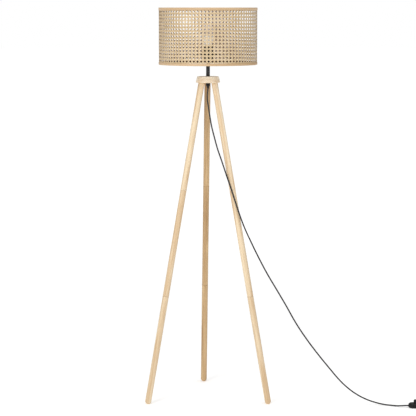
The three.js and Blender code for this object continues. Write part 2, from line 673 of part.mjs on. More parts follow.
function addPlug(parent) {
  const group = new THREE.Group();
  group.position.set(...PLUG_TAIL, PLUG_AXIS_Z);
  parent.add(group);
  const [root, tip] = PIN_ENDS;
  const pin = turned([[0, root], [PIN_RADIUS, root], [PIN_RADIUS, tip - 1.5], [1.2, tip], [0, tip]], 12)
    .rotateX(-Math.PI / 2);
  piece(group, 'plug_body', plugBody(), blackPlastic);
  piece(group, 'plug_pin_left', pin, steel).position.x = -PIN_OFFSET;
  piece(group, 'plug_pin_right', pin, steel).position.x = PIN_OFFSET;
}

function addLead(parent) {
  const ringClearance = [coilRing(GAP)];
  piece(parent, 'cord_drop', bar(DROP_ROUTE, CORD_RADIUS, 8, 80), blackCord);
  addSwitch(parent);
  piece(parent, 'cord_tail', carve(bar(TAIL_ROUTE, CORD_RADIUS, 8, 8), { cut: ringClearance }), blackCord);
  piece(parent, 'cord_coil', coilRing(0), blackCord);
  piece(parent, 'cord_end', carve(bar(END_ROUTE, CORD_RADIUS, 8, 6), { cut: ringClearance }), blackCord);
  piece(parent, 'cord_tie', coilTie(), blackPlastic);
  addPlug(parent);
}

// ---------------------------------------------------------------- the lamp

const stand = new THREE.Group();
for (const [side, azimuth] of Object.entries(LEG_AZIMUTHS)) addLeg(stand, side, azimuth);
addHubAndStem(stand);
addLampholder(stand);
addBulb(stand);
addShade(stand);

// The origin is on the floor under the middle of the stand and shade, so the lamp axis is a little in front of
// it, because two of the legs stand in front and only one behind.
const footprint = new THREE.Box3().setFromObject(stand, true);
const lamp = new THREE.Group();
lamp.position.y = -(footprint.min.y + footprint.max.y) / 2;
lamp.add(stand);
addLead(lamp);

const tripodFloorLamp = new THREE.Group();
tripodFloorLamp.add(lamp);

export default tripodFloorLamp;
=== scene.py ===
"""Looks of the tripod floor lamp: its smooth pieces, finishes and stage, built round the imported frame.

Metres, +Z up. The floor is z = 0, the front of the lamp faces -Y, and the pieces ride on the frame's bodies.
"""
import math
import random
from contextlib import contextmanager

import bmesh
import bpy
import numpy as np
from mathutils import Matrix, Vector


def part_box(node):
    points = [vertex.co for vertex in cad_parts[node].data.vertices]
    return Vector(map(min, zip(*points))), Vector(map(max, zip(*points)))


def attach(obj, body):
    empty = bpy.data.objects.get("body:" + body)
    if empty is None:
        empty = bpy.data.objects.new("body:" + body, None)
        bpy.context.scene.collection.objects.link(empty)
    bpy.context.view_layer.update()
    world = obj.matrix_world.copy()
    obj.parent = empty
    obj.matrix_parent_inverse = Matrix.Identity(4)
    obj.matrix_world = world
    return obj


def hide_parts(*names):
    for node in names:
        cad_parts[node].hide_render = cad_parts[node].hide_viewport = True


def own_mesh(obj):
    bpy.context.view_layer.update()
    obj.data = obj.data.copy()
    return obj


bl_info = {
    "name": "Tripod Floor Lamp",
    "version": (1, 0, 0),
    "blender": (4, 5, 0),
    "location": "3D View > Sidebar > Lamp",
    "description": "Builds the visible pieces of a tripod floor lamp with a woven cane shade",
    "category": "Object",
}

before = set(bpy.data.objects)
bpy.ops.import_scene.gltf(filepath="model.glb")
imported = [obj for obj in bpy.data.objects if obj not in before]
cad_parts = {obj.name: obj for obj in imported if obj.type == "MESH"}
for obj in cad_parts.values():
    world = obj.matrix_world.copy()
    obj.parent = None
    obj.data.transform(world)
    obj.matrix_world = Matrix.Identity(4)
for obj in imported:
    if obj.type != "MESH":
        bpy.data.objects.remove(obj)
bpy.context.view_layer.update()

STAND = "stand"
BULB = "bulb"
BULB_SCREW = "bulb_screw"
SWITCH_BUTTON = "switch_button"
SIDES = ("left", "right", "rear")
MM = 0.001
WELD = 0.001 * MM


# --- places read from the frame


def middle(node):
    low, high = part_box(node)
    return (low + high) / 2


def bottom(node):
    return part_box(node)[0].z


def top(node):
    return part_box(node)[1].z


def radius(node):
    """Half of the wider side of an upright turned node."""
    low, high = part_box(node)
    return max(high.x - low.x, high.y - low.y) / 2


AXIS = Vector((0, middle("stem_tube").y, 0))
GAP = 0.3 * MM


def colour(red, green, blue):
    """A display colour, 0 to 255, as the linear values that Blender keeps."""
    return tuple(((value / 255 + 0.055) / 1.055) ** 2.4 for value in (red, green, blue))


# --- settings


def tint(name, description, red, green, blue):
    return bpy.props.FloatVectorProperty(
        name=name, description=description, subtype="COLOR", size=3, min=0, max=1,
        default=colour(red, green, blue))


def length(name, description, default):
    return bpy.props.FloatProperty(name=name, description=description, default=default, unit="LENGTH")


class LampColours(bpy.types.PropertyGroup):
    wood_pale: tint("Front legs, pale", "The light bands of the front legs' wood", 231, 210, 177)
    wood_warm: tint("Front legs, warm", "The darker bands of the front legs' wood", 198, 163, 120)
    # The hub's colours are the legs' wood lightened as painted light, for the stronger light that falls on
    # the hub's top.
    hub_pale: tint("Hub, pale", "The light bands of the hub's wood", 247, 232, 207)
    hub_warm: tint("Hub, warm", "The darker bands of the hub's wood", 219, 189, 152)
    upper_pale: tint("Palest section, pale", "The light bands of the right leg's top section", 238, 219, 189)
    upper_warm: tint("Palest section, warm", "The darker bands of the right leg's top section", 207, 175, 133)
    # The rear leg's colours are a darker wood and also painted shade from the hub over it.
    rear_pale: tint("Rear leg, pale", "The light bands of the rear leg's wood", 212, 180, 134)
    rear_warm: tint("Rear leg, warm", "The darker bands of the rear leg's wood", 158, 117, 68)
    band_pale: tint("Band, pale", "The light streaks of the strips round the shade's edges", 201, 172, 134)
    band_warm: tint("Band, warm", "The darker streaks of the strips round the shade's edges", 183, 149, 109)
    cane_pale: tint("Cane, pale", "The glossy face of the palest strands", 236, 216, 178)
    cane_warm: tint("Cane, warm", "The darkest strands", 207, 175, 129)
    # The cane's inside colour is its own rough brown, darkened further as painted shade for the dim inside of
    # the drum.
    cane_pith: tint("Cane, inside", "The rough brown face that looks into the shade", 112, 76, 48)
    black: tint("Black", "The plastic and painted metal", 14, 14, 15)
    cord_black: tint("Cord", "The cord's sheath", 22, 22, 24)
    steel: tint("Steel", "The zinc-plated studs, nut and pins", 186, 188, 192)
    brass: tint("Brass", "The lampholder's contacts", 214, 176, 96)
    white: tint("White plastic", "The bulb's housing and the lampholder's core", 226, 222, 216)
    # The dome's white is greyed as painted shade, for the dim inside of the drum where the bulb sits.
    frosted: tint("Frosted dome", "The bulb's diffuser", 192, 181, 179)


class LampSizes(bpy.types.PropertyGroup):
    cane_columns: bpy.props.IntProperty(
        name="Cane columns", description="Columns of holes round the shade", default=84, min=24)
    cane_pitch: length("Cane pitch", "Height from one row of holes to the next", 13.27 * MM)
    cane_lowest_row: length("Lowest row", "Height of the lowest row of holes", 1.3194)
    cane_width: length("Strand width", "Width of one strand of cane", 2.15 * MM)
    cane_thickness: length("Strand thickness", "Thickness of one strand of cane", 0.45 * MM)
    pair_spread: length("Pair spread", "From the middle of a pair of strands to the middle of each", 1.6 * MM)
    cane_sink: length("Row sink", "How much lower each row is at the back than at the front", 2.5 * MM)
    cane_start: length("Middle column", "How far right of the front the middle column of holes is", 2.6 * MM)
    edge_round: length("Edge rounding", "How far the wooden pieces' edges are rounded", 0.9 * MM)
    cord_diameter: length("Cord diameter", "Outside diameter of the cord", 5.6 * MM)


class LampStage(bpy.types.PropertyGroup):
    focal_length: bpy.props.FloatProperty(
        name="Focal length", description="The camera's focal length in millimetres", default=143.85,
        unit="CAMERA")
    camera_distance: length("Camera distance", "From the lamp's axis forward to the camera", 6.4186)
    camera_height: length("Camera height", "Height of the camera above the floor", 1.5109)
    camera_pitch: bpy.props.FloatProperty(
        name="Camera pitch", description="How far the camera looks down", default=math.radians(6.794),
        subtype="ANGLE", unit="ROTATION")
    floor_colour: tint("Floor", "The plain floor", 246, 246, 246)
    floor_lift: bpy.props.FloatProperty(
        name="Floor glow", description="Light that makes the floor fade into the backdrop", default=0.62)
    room_light: bpy.props.FloatProperty(
        name="Room light", description="Strength of the even light from all round", default=0.45)


# --- modelling helpers


def deselect():
    if bpy.context.mode != "OBJECT":
        bpy.ops.object.mode_set(mode="OBJECT")
    bpy.ops.object.select_all(action="DESELECT")


def take(piece):
    """Makes a piece the only selected one and the active one."""
    deselect()
    piece.select_set(True)
    bpy.context.view_layer.objects.active = piece
    return piece


def started(name):
    """The primitive that was just added, under its own name."""
    piece = bpy.context.active_object
    piece.name = name
    piece.data.name = name
    return piece


@contextmanager
def editing(piece, kind="FACE"):
    """A piece in edit mode with all of it selected, and back in object mode afterwards."""
    take(piece)
    bpy.ops.object.mode_set(mode="EDIT")
    bpy.ops.mesh.select_mode(type=kind)
    bpy.ops.mesh.select_all(action="SELECT")
    yield
    bpy.ops.object.mode_set(mode="OBJECT")


def pick(kind, passes):
    """Selects the edited mesh's vertices, edges or faces that pass a test."""
    bpy.ops.mesh.select_mode(type=kind)
    bpy.ops.mesh.select_all(action="DESELECT")
    mesh = bmesh.from_edit_mesh(bpy.context.edit_object.data)
    for item in {"VERT": mesh.verts, "EDGE": mesh.edges, "FACE": mesh.faces}[kind]:
        item.select_set(passes(item))
    mesh.select_flush_mode()
    bmesh.update_edit_mesh(bpy.context.edit_object.data)


def edge_direction(edge):
    return (edge.verts[1].co - edge.verts[0].co).normalized()


def close_up(piece, distance=WELD):
    """Merges doubles, drops what collapsed and turns the faces outwards."""
    with editing(piece):
        bpy.ops.mesh.remove_doubles(threshold=distance)
        bpy.ops.mesh.dissolve_degenerate(threshold=distance)
        bpy.ops.mesh.delete_loose()
        bpy.ops.mesh.select_all(action="SELECT")
        bpy.ops.mesh.normals_make_consistent(inside=False)
    return piece


def trim(piece, height, facing):
    """Cuts a piece at a level plane and closes it. Facing 1 drops what is above, and -1 what is below."""
    with editing(piece):
        bpy.ops.mesh.bisect(plane_co=(0, 0, height), plane_no=(0, 0, facing), clear_outer=True,
                            use_fill=True, threshold=WELD)


def apply_all(piece):
    take(piece)
    for modifier in list(piece.modifiers):
        bpy.ops.object.modifier_apply(modifier=modifier.name)
    return piece


def add_modifier(piece, kind, **settings):
    modifier = piece.modifiers.new(kind.title(), kind)
    for key, value in settings.items():
        setattr(modifier, key, value)
    return modifier


def soften(piece, width, segments=3, angle=30):
    """Rounds a piece's sharp edges."""
    add_modifier(piece, "BEVEL", width=width, segments=segments, limit_method="ANGLE",
                 angle_limit=math.radians(angle), harden_normals=False)
    return apply_all(piece)


def smooth(piece, angle=35):
    take(piece)
    bpy.ops.object.shade_smooth_by_angle(angle=math.radians(angle))
    return piece


def settle(piece):
    """Puts a piece's place, turn and size into its mesh."""
    take(piece)
    bpy.ops.object.transform_apply(location=True, rotation=True, scale=True)
    return piece


def joined(name, parts):
    deselect()
    for part in parts:
        part.select_set(True)
    bpy.context.view_layer.objects.active = parts[0]
    if len(parts) > 1:
        bpy.ops.object.join()
    return started(name)


def cut(piece, *cutters):
    for cutter in cutters:
        add_modifier(piece, "BOOLEAN", object=cutter, operation="DIFFERENCE", solver="MANIFOLD")
        apply_all(piece)
        bpy.data.objects.remove(cutter)
        if not piece.data.vertices:
            raise RuntimeError(f"{piece.name} was cut away")
    return piece


def block(name, centre, size):
    """A block to start from, at its place and size."""
    deselect()
    bpy.ops.mesh.primitive_cube_add(size=1, location=centre)
    piece = started(name)
    piece.scale = size
    return settle(piece)


def cylinder(name, size, depth, centre, up=(0, 0, 1), sides=64):
    """A round cutter."""
    deselect()
    turn = Vector(up).to_track_quat("Z", "Y").to_euler()
    bpy.ops.mesh.primitive_cylinder_add(
        vertices=sides, radius=size, depth=depth, location=centre, rotation=turn)
    return settle(started(name))


def turned(name, outline, steps=96, axis=AXIS):
    """A turned piece: points are laid along the outline, [radius, height], and spun round the axis."""
    deselect()
    bpy.ops.mesh.primitive_circle_add(vertices=len(outline), radius=MM, fill_type="NOTHING")
    piece = started(name)
    for vertex, (out, height) in zip(piece.data.vertices, outline):
        vertex.co = (axis.x + out, axis.y, axis.z + height)
    with editing(piece, "VERT"):
        bpy.ops.mesh.spin(steps=steps, angle=math.tau, center=axis, axis=(0, 0, 1), use_auto_merge=True)
    return close_up(piece)


def arc(out, height, size, start, end, steps=8):
    """Outline points along an arc, from one angle to another in degrees."""
    points = []
    for step in range(steps + 1):
        angle = math.radians(start + (end - start) * step / steps)
        points.append((out + size * math.cos(angle), height + size * math.sin(angle)))
    return points


def from_level(level, *points):
    """Outline points given in millimetres: the radius, and the height above or below a level."""
    return [(out * MM, level + height * MM) for out, height in points]


def rounded_side(out, low, high, edge):
    """An outline's upright side, with a small round at both ends."""
    return [*arc(out - edge, low + edge, edge, -90, 0, 4), *arc(out - edge, high - edge, edge, 0, 90, 4)]


def round_bar(name, points, thickness, sides=12, joints=10):
    """A round bar along a smooth curve through the points, as a mesh."""
    bar = smooth_curve(name, points, thickness, sides // 4, joints)
    take(bar)
    bpy.ops.object.convert(target="MESH")
    return close_up(started(name))


def smooth_curve(name, points, thickness, roundness, joints):
    """One open spline through the points, with a round section and closed ends."""
    data = bpy.data.curves.new(name, "CURVE")
    data.dimensions = "3D"
    data.bevel_depth = thickness / 2
    data.bevel_resolution = roundness
    data.resolution_u = joints
    data.use_fill_caps = True
    spline = data.splines.new("BEZIER")
    spline.bezier_points.add(len(points) - 1)
    for knot, point in zip(spline.bezier_points, points):
        knot.co = point
        knot.handle_left_type = "AUTO"
        knot.handle_right_type = "AUTO"
    piece = bpy.data.objects.new(name, data)
    bpy.context.scene.collection.objects.link(piece)
    return piece


def keep_places(piece, attribute, places):
    """Stores a place for each point of the mesh, for the patterns that follow the piece."""
    stored = piece.data.attributes.new(attribute, "FLOAT_VECTOR", "POINT")
    stored.data.foreach_set("vector", np.asarray(places, np.float32).ravel())


def points_of(piece):
    places = np.zeros(len(piece.data.vertices) * 3, np.float32)
    piece.data.vertices.foreach_get("co", places)
    return places.reshape(-1, 3)


def keep_grain(piece, along="Z", seed=0):
    """Stores where each point lies in the plank the piece was cut from, the grain along its third axis."""
    places = points_of(piece)
    if along == "X":
        places = places[:, [2, 1, 0]]
    shift = random.Random(seed)
    offset = [shift.uniform(-1, 1) for _ in range(3)]
    keep_places(piece, "grain", places + np.array(offset, np.float32))


def place(piece, look, slot, *nodes, body=STAND):
    """Gives a finished piece its finish, its body and the frame's nodes that it stands for."""
    piece.data.materials.clear()
    piece.data.materials.append(finish(look))
    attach(piece, body)
    if nodes:
        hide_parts(*nodes)


# --- materials


class Wire:
    """A shader socket that takes part in ordinary sums."""

    def __init__(self, finish, socket):
        self.finish = finish
        self.socket = socket

    def sum(self, operation, first, second):
        return self.finish.node("ShaderNodeMath", {"operation": operation}, {0: first, 1: second})

    def __add__(self, other):
        return self.sum("ADD", self, other)

    def __sub__(self, other):
        return self.sum("SUBTRACT", self, other)

    def __rsub__(self, other):
        return self.sum("SUBTRACT", other, self)

    def __mul__(self, other):
        return self.sum("MULTIPLY", self, other)

    def __pow__(self, other):
        return self.sum("POWER", self, other)

    __radd__ = __add__
    __rmul__ = __mul__


class Finish:
    """The nodes of a material, or of the room's light, that is being made. Every node comes from node()."""

    def __init__(self, name, kind="materials"):
        self.owner = getattr(bpy.data, kind).new(name)
        self.owner.use_nodes = True
        self.tree = self.owner.node_tree
        self.tree.nodes.clear()

    def node(self, kind, settings=None, sockets=None, output=0):
        made = self.tree.nodes.new(kind)
        for key, value in (settings or {}).items():
            if key == "stops":
                set_stops(made.color_ramp, value)
            else:
                setattr(made, key, value)
        for key, value in (sockets or {}).items():
            socket = made.inputs[key]
            if isinstance(value, Wire):
                self.tree.links.new(value.socket, socket)
            else:
                socket.default_value = with_alpha(value) if socket.type == "RGBA" else value
        return Wire(self, made.outputs[output]) if made.outputs else None

    def stored(self, name):
        return self.node("ShaderNodeAttribute", {"attribute_name": name}, output="Vector")

    def noise(self, scale, where=None, stretch=(1, 1, 1), detail=2, rough=0.5, twist=0):
        """Noise over stored places, or over the piece's own coordinates."""
        where = where or self.node("ShaderNodeTexCoord", output="Object")
        where = self.node("ShaderNodeMapping", sockets={"Vector": where, "Scale": stretch})
        return self.node("ShaderNodeTexNoise", sockets={
            "Vector": where, "Scale": scale, "Detail": detail, "Roughness": rough, "Distortion": twist})

    def blend(self, share, first, second):
        """A mix of two colours."""
        sockets = {"Factor": share, 6: first, 7: second}
        return self.node("ShaderNodeMix", {"data_type": "RGBA"}, sockets, output=2)

    def ramp(self, value, stops):
        return self.node("ShaderNodeValToRGB", {"stops": stops}, {"Fac": value})

    def bump(self, height, strength, depth):
        sockets = {"Height": height, "Strength": strength, "Distance": depth}
        return self.node("ShaderNodeBump", sockets=sockets)

    def done(self, **sockets):
        """Ends the material in a Principled shader with these sockets."""
        named = {key.replace("_", " ").title().replace("Ior", "IOR"): value for key, value in sockets.items()}
        shader = self.node("ShaderNodeBsdfPrincipled", sockets=named)
        self.node("ShaderNodeOutputMaterial", sockets={"Surface": shader})
        return self.owner


def with_alpha(value):
    return (*value[:3], 1)


def scaled(shade, gain, lift=0):
    """A colour made darker or lighter."""
    return tuple(value * gain + lift for value in shade)


def set_stops(ramp, stops):
    while len(ramp.elements) < len(stops):
        ramp.elements.new(1)
    for element, (position, shade) in zip(ramp.elements, stops):
        element.position = position
        element.color = with_alpha(shade)


def wood(name, pale, warm, rough=0.48):
    """Turned pale wood under thin matt varnish: broad soft bands, fine fibres and short pores."""
    make = Finish(name)
    grain = make.stored("grain")
    bands = make.noise(55, grain, (1, 1, 0.05), detail=3, rough=0.6, twist=0.7)
    fibres = make.noise(620, grain, (1, 1, 0.025), rough=0.6)
    pores = make.noise(1500, grain, (1, 1, 0.08), detail=1)
    tone = make.ramp(bands * 0.72 + fibres * 0.28, [(0.34, warm), (0.6, pale)])
    pore = make.ramp(pores, [(0.62, (0, 0, 0)), (0.72, (1, 1, 1))])
    shade = make.blend(make.node("ShaderNodeRGBToBW", sockets={0: pore}) * 0.35, tone, scaled(warm, 0.72))
    normal = make.bump(fibres * 0.7 + pores * 0.3, 0.25, 0.15 * MM)
    return make.done(base_color=shade, roughness=fibres * 0.16 + (rough - 0.08), normal=normal,
                     coat_weight=0.12, coat_roughness=0.35)


def cane(name, pale, warm, pith_and_shade):
    """Split cane: each strand has its own tone and streaks along it; its edges are darkened as painted shadow
    in the gaps between strands, and its inner face is a rough brown darkened further as painted shade inside
    the drum.
    """
    make = Finish(name)
    strand = make.stored("strand")
    inside = make.node("ShaderNodeAttribute", {"attribute_name": "inside"}, output="Fac")
    split = make.node("ShaderNodeSeparateXYZ", sockets={0: strand}).socket.node
    across = Wire(make, split.outputs["Y"])
    number = Wire(make, split.outputs["Z"])
    own = make.node("ShaderNodeTexWhiteNoise", {"noise_dimensions": "1D"}, {"W": number})
    streaks = make.noise(900, strand, (0.06, 1, 37))
    patches = make.noise(22, strand, (1, 0, 13))
    # Painted shadow: each strand darkens towards both edges, standing in for the shade in the gaps between
    # strands.
    edge = make.node("ShaderNodeMath", {"operation": "ABSOLUTE"}, {0: across}) ** 3
    tone = own * 0.45 + streaks * 0.35 + patches * 0.55
    shade = make.blend(tone - 0.2, pale, warm)
    shade = make.blend(edge * 0.8, shade, scaled(warm, 0.4))
    # The inner face's brown is partly the cane's own and partly painted shade.
    shade = make.blend(inside, shade, pith_and_shade)
    return make.done(base_color=shade, roughness=streaks * 0.2 + 0.36,
                     normal=make.bump(streaks, 0.2, 0.05 * MM), coat_weight=0.2, coat_roughness=0.25)


def moulded(name, base, rough=0.42):
    """Moulded plastic with a fine spark-eroded texture."""
    make = Finish(name)
    fine = make.noise(1400, rough=0.6)
    worn = make.noise(60, detail=3)
    shade = make.blend(worn * 0.5, base, scaled(base, 1.35, 0.002))
    return make.done(base_color=shade, roughness=worn * 0.12 + (rough - 0.06), specular_ior_level=0.25,
                     normal=make.bump(fine, 0.12, 0.05 * MM))


def painted(name, base):
    """Powder-coated steel: a slight orange peel."""
    make = Finish(name)
    peel = make.noise(700, detail=1)
    worn = make.noise(45, stretch=(1, 1, 0.4), detail=3)
    shade = make.blend(worn * 0.6, base, scaled(base, 1.5, 0.003))
    return make.done(base_color=shade, roughness=worn * 0.14 + 0.29, metallic=0.2,
                     normal=make.bump(peel, 0.18, 0.04 * MM), coat_weight=0.25, coat_roughness=0.28)


def sheath(name, base):
    """The cord's extruded sheath: satin, with faint scuffs."""
    make = Finish(name)
    scuffs = make.noise(160, detail=3, rough=0.65)
    shade = make.blend(scuffs * 0.6, base, scaled(base, 1.6, 0.004))
    return make.done(base_color=shade, roughness=scuffs * 0.2 + 0.32,
                     normal=make.bump(scuffs, 0.12, 0.08 * MM), specular_ior_level=0.5)


def plated(name, base, rough=0.3):
    """Plated or bare metal with fine turning marks."""
    make = Finish(name)
    marks = make.noise(260, stretch=(1, 1, 12))
    spots = make.noise(90, detail=3)
    shade = make.blend(spots, scaled(base, 0.8), base)
    return make.done(base_color=shade, metallic=1.0, roughness=marks * 0.16 + (rough - 0.08),
                     normal=make.bump(marks, 0.1, 0.03 * MM))


def satin_dome(name, base):
    """The bulb's diffuser dome; its colour comes in greyed as painted shade."""
    make = Finish(name)
    haze = make.noise(75)
    shade = make.blend(haze * 0.4, base, scaled(base, 0.93))
    return make.done(base_color=shade, roughness=haze * 0.1 + 0.42, subsurface_weight=0.25,
                     subsurface_radius=(0.004, 0.004, 0.004))


# Each finish's maker, its colours in the lamp's settings, and its roughness where it isn't the maker's own.
RECIPES = {
    "leg_wood": (wood, ("wood_pale", "wood_warm")),
    "hub_wood": (wood, ("hub_pale", "hub_warm")),
    "upper_wood": (wood, ("upper_pale", "upper_warm")),
    "rear_wood": (wood, ("rear_pale", "rear_warm")),
    "band_strip": (wood, ("band_pale", "band_warm"), 0.5),
    "woven_cane": (cane, ("cane_pale", "cane_warm", "cane_pith")),
    "black_plastic": (moulded, ("black",)),
    "black_paint": (painted, ("black",)),
    "cord_sheath": (sheath, ("cord_black",)),
    "white_plastic": (moulded, ("white",), 0.38),
    "zinc": (plated, ("steel",)),
    "brass": (plated, ("brass",), 0.26),
    "frosted_dome": (satin_dome, ("frosted",)),
}


FINISHES = {}


def finish(name):
    """One of the lamp's finishes, made when it is first asked for."""
    if name not in FINISHES:
        maker, colours, *rough = RECIPES[name]
        look = bpy.context.scene.lamp_colours
        FINISHES[name] = maker(name, *(getattr(look, key) for key in colours), *rough)
    return FINISHES[name]


# --- stage


def area_light(name, location, aim, size, watts):
    data = bpy.data.lights.new(name, "AREA")
    data.shape = "SQUARE"
    data.size = size
    data.energy = watts
    light = bpy.data.objects.new(name, data)
    light.location = location
    light.rotation_euler = (Vector(aim) - Vector(location)).to_track_quat("-Z", "Y").to_euler()
    bpy.context.scene.collection.objects.link(light)


def make_room(strength):
    """An even room: white where it is seen, and a softer light where it only lights the lamp."""
    room = Finish("studio", "worlds")
    seen = room.node("ShaderNodeBackground", sockets={"Color": (1, 1, 1)})
    lighting = room.node("ShaderNodeBackground", sockets={"Color": (1, 1, 1), "Strength": strength})
    path = room.node("ShaderNodeLightPath", output="Is Camera Ray")
    light = room.node("ShaderNodeMixShader", sockets={0: path, 1: lighting, 2: seen})
    room.node("ShaderNodeOutputWorld", sockets={"Surface": light})
    bpy.context.scene.world = room.owner


class LAMP_OT_stage(bpy.types.Operator):
    """Sets up the camera, the plain pale floor and the soft studio light"""
    bl_idname = "lamp.stage"
    bl_label = "Stage"

    def execute(self, context):
        stage = context.scene.lamp_stage
        context.scene.view_settings.view_transform = "Standard"
        camera = bpy.data.objects.new("camera", bpy.data.cameras.new("camera"))
        camera.data.lens = stage.focal_length
        camera.data.sensor_width = 36
        camera.data.clip_end = 200
        camera.location = (AXIS.x, AXIS.y - stage.camera_distance, stage.camera_height)
        camera.rotation_euler = (math.radians(90) - stage.camera_pitch, 0, 0)
        context.scene.collection.objects.link(camera)
        context.scene.camera = camera
        deselect()
        bpy.ops.mesh.primitive_circle_add(vertices=128, radius=60, fill_type="NGON", location=(0, 0, 0))
        floor = started("floor")
        make = Finish("floor")
        where = make.node("ShaderNodeTexCoord", output="Object")
        distance = make.node("ShaderNodeVectorMath", {"operation": "LENGTH"}, {0: where}, output="Value")
        glow = make.ramp(distance * 0.1, [(0.12, (0.5, 0.5, 0.5)), (0.5, (1, 1, 1))])
        floor.data.materials.append(make.done(
            base_color=stage.floor_colour, roughness=0.9, specular_ior_level=0.1,
            emission_color=glow, emission_strength=stage.floor_lift))
        make_room(stage.room_light)
        shade = (0, AXIS.y, 1.5)
        area_light("key", (-2.6, -4.9, 3.4), shade, 2.2, 132)
        area_light("fill", (2.8, -4.6, 2.6), shade, 2.6, 22)
        area_light("overhead", (0.4, -0.6, 4.6), (0, AXIS.y, 0), 3.0, 60)
        return {"FINISHED"}


# --- cords

# The cord's route from the gland to the foot switch, in millimetres from the lamp's axis. It leans on the
# right leg, then runs down to the floor.
DROP_ROUTE = [
    (0, 0, 1211.4), (-0.6, -0.2, 1204), (-2.2, -1.4, 1190), (-2.6, -4, 1168), (0.6, -8, 1146),
    (6.2, -16, 1110), (13, -27, 1070), (23, -40, 1030), (37, -52, 980), (54, -60, 931), (71, -65, 880),
    (88.5, -69.4, 829), (109, -74.5, 767), (137, -82, 688), (165, -88, 626), (195.5, -94, 564),
    (228, -100, 503), (265, -106, 441), (301, -111, 380), (336, -116, 318), (377, -121, 256),
    (423, -127, 195), (473, -133, 134), (502, -136.5, 100), (535, -140, 68), (572, -144, 41),
    (610, -148.5, 22), (648, -153, 9.8), (680, -158.5, 3.9), (704, -168, 3.2), (726, -182.5, 4.6),
    (745, -192.8, 7.6), (758, -195, 8.6), (769.5, -195, 8.6),
]
# From the foot switch to the coil, and from the coil into the plug's sleeve.
TAIL_ROUTE = [
    (827.5, -195, 8.6), (834, -195, 8.6), (845, -195, 7.4), (856, -195, 5.4), (866, -195, 4.3),
    (882, -195, 4.1),
]
END_ROUTE = [
    (921.9, -152, 10.3), (921.9, -145, 9.7), (921.9, -138, 8.3), (921.9, -131, 7.2), (921.9, -125, 7),
]

# Where the coil's turns change place: at each angle, in degrees, the cord is at that turn of the coil.
COIL_STAGES = [
    (-90, "outer", "lower"), (170, "outer", "lower"), (270, "inner", "lower"), (500, "inner", "lower"),
    (590, "inner", "upper"), (820, "inner", "upper"), (930, "outer", "upper"), (1080, "outer", "upper"),
]
COIL_STEP = 15


def from_axis(route):
    return [AXIS + Vector(point) * MM for point in route]


def eased(share):
    return share * share * (3 - 2 * share)


def coil_turns():
    """The coil's line: outside below, inside below, inside above and outside above."""
    centre = middle("cord_coil")
    low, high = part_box("cord_coil")
    diameter = bpy.context.scene.lamp_sizes.cord_diameter
    spacing = diameter + 0.1 * MM
    outer = (high.x - low.x) / 2 - diameter / 2 - GAP
    radii = {"outer": outer, "inner": outer - spacing}
    heights = {"lower": low.z + diameter / 2, "upper": low.z + diameter / 2 + spacing}
    points = []
    for (start, ring, layer), (end, next_ring, next_layer) in zip(COIL_STAGES, COIL_STAGES[1:]):
        steps = max(2, round((end - start) / COIL_STEP))
        for step in range(steps):
            share = eased(step / steps)
            out = radii[ring] + (radii[next_ring] - radii[ring]) * share
            height = heights[layer] + (heights[next_layer] - heights[layer]) * share
            angle = math.radians(start + (end - start) * step / steps)
            points.append(Vector((
                centre.x + out * math.cos(angle), centre.y + out * math.sin(angle), height)))
    points.append(Vector((centre.x + outer, centre.y, heights["upper"])))
    return points


class LAMP_OT_cords(bpy.types.Operator):
    """Lays the cord from the gland to the foot switch, and the coiled lead from there to the plug"""
    bl_idname = "lamp.cords"
    bl_label = "Cords"

    def execute(self, context):
        diameter = context.scene.lamp_sizes.cord_diameter
        drop = smooth_curve("cord_to_switch", from_axis(DROP_ROUTE), diameter, 4, 16)
        place(drop, "cord_sheath", "black_cord", "cord_drop")
        route = from_axis(TAIL_ROUTE) + coil_turns() + from_axis(END_ROUTE)
        lead = smooth_curve("cord_to_plug", route, diameter, 4, 8)
        place(lead, "cord_sheath", "black_cord", "cord_tail", "cord_coil", "cord_end")
        return {"FINISHED"}


class LAMP_OT_declare_cords(bpy.types.Operator):
    """An empty step: it does not declare the cords' lengths, where they leave or what is on them"""
    bl_idname = "lamp.declare_cords"
    bl_label = "Declare cords"

    def execute(self, context):
        return {"FINISHED"}


# --- legs and hub

LEG_RADIUS = 12 * MM
WOOD_JOINT = 0.25 * MM
FOOT_FLAT = 0.6 * MM


def leg_frame(side):
    """A leg's own frame: its origin is at the lower joint, and +Z runs up the leg."""
    lower = middle(f"lower_joint_stud_{side}")
    upper = middle(f"upper_joint_stud_{side}")
    up = (upper - lower).normalized()
    sideways = up.cross(AXIS + Vector((0, 0, lower.z)) - lower).normalized()
    inwards = sideways.cross(up)
    turn = Matrix((inwards, sideways, up)).transposed().to_4x4()
    return Matrix.Translation(lower) @ turn, (upper - lower).length


def leg_reach(side, matrix):
    """How far down and up the leg's wood goes from the lower joint."""
    up = matrix.to_3x3().col[2]
    origin = matrix.translation
    down = (origin.z - (LEG_RADIUS - FOOT_FLAT)) / up.z
    wood_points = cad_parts[f"leg_upper_{side}"].data.vertices
    return down, max((vertex.co - origin).dot(up) for vertex in wood_points)


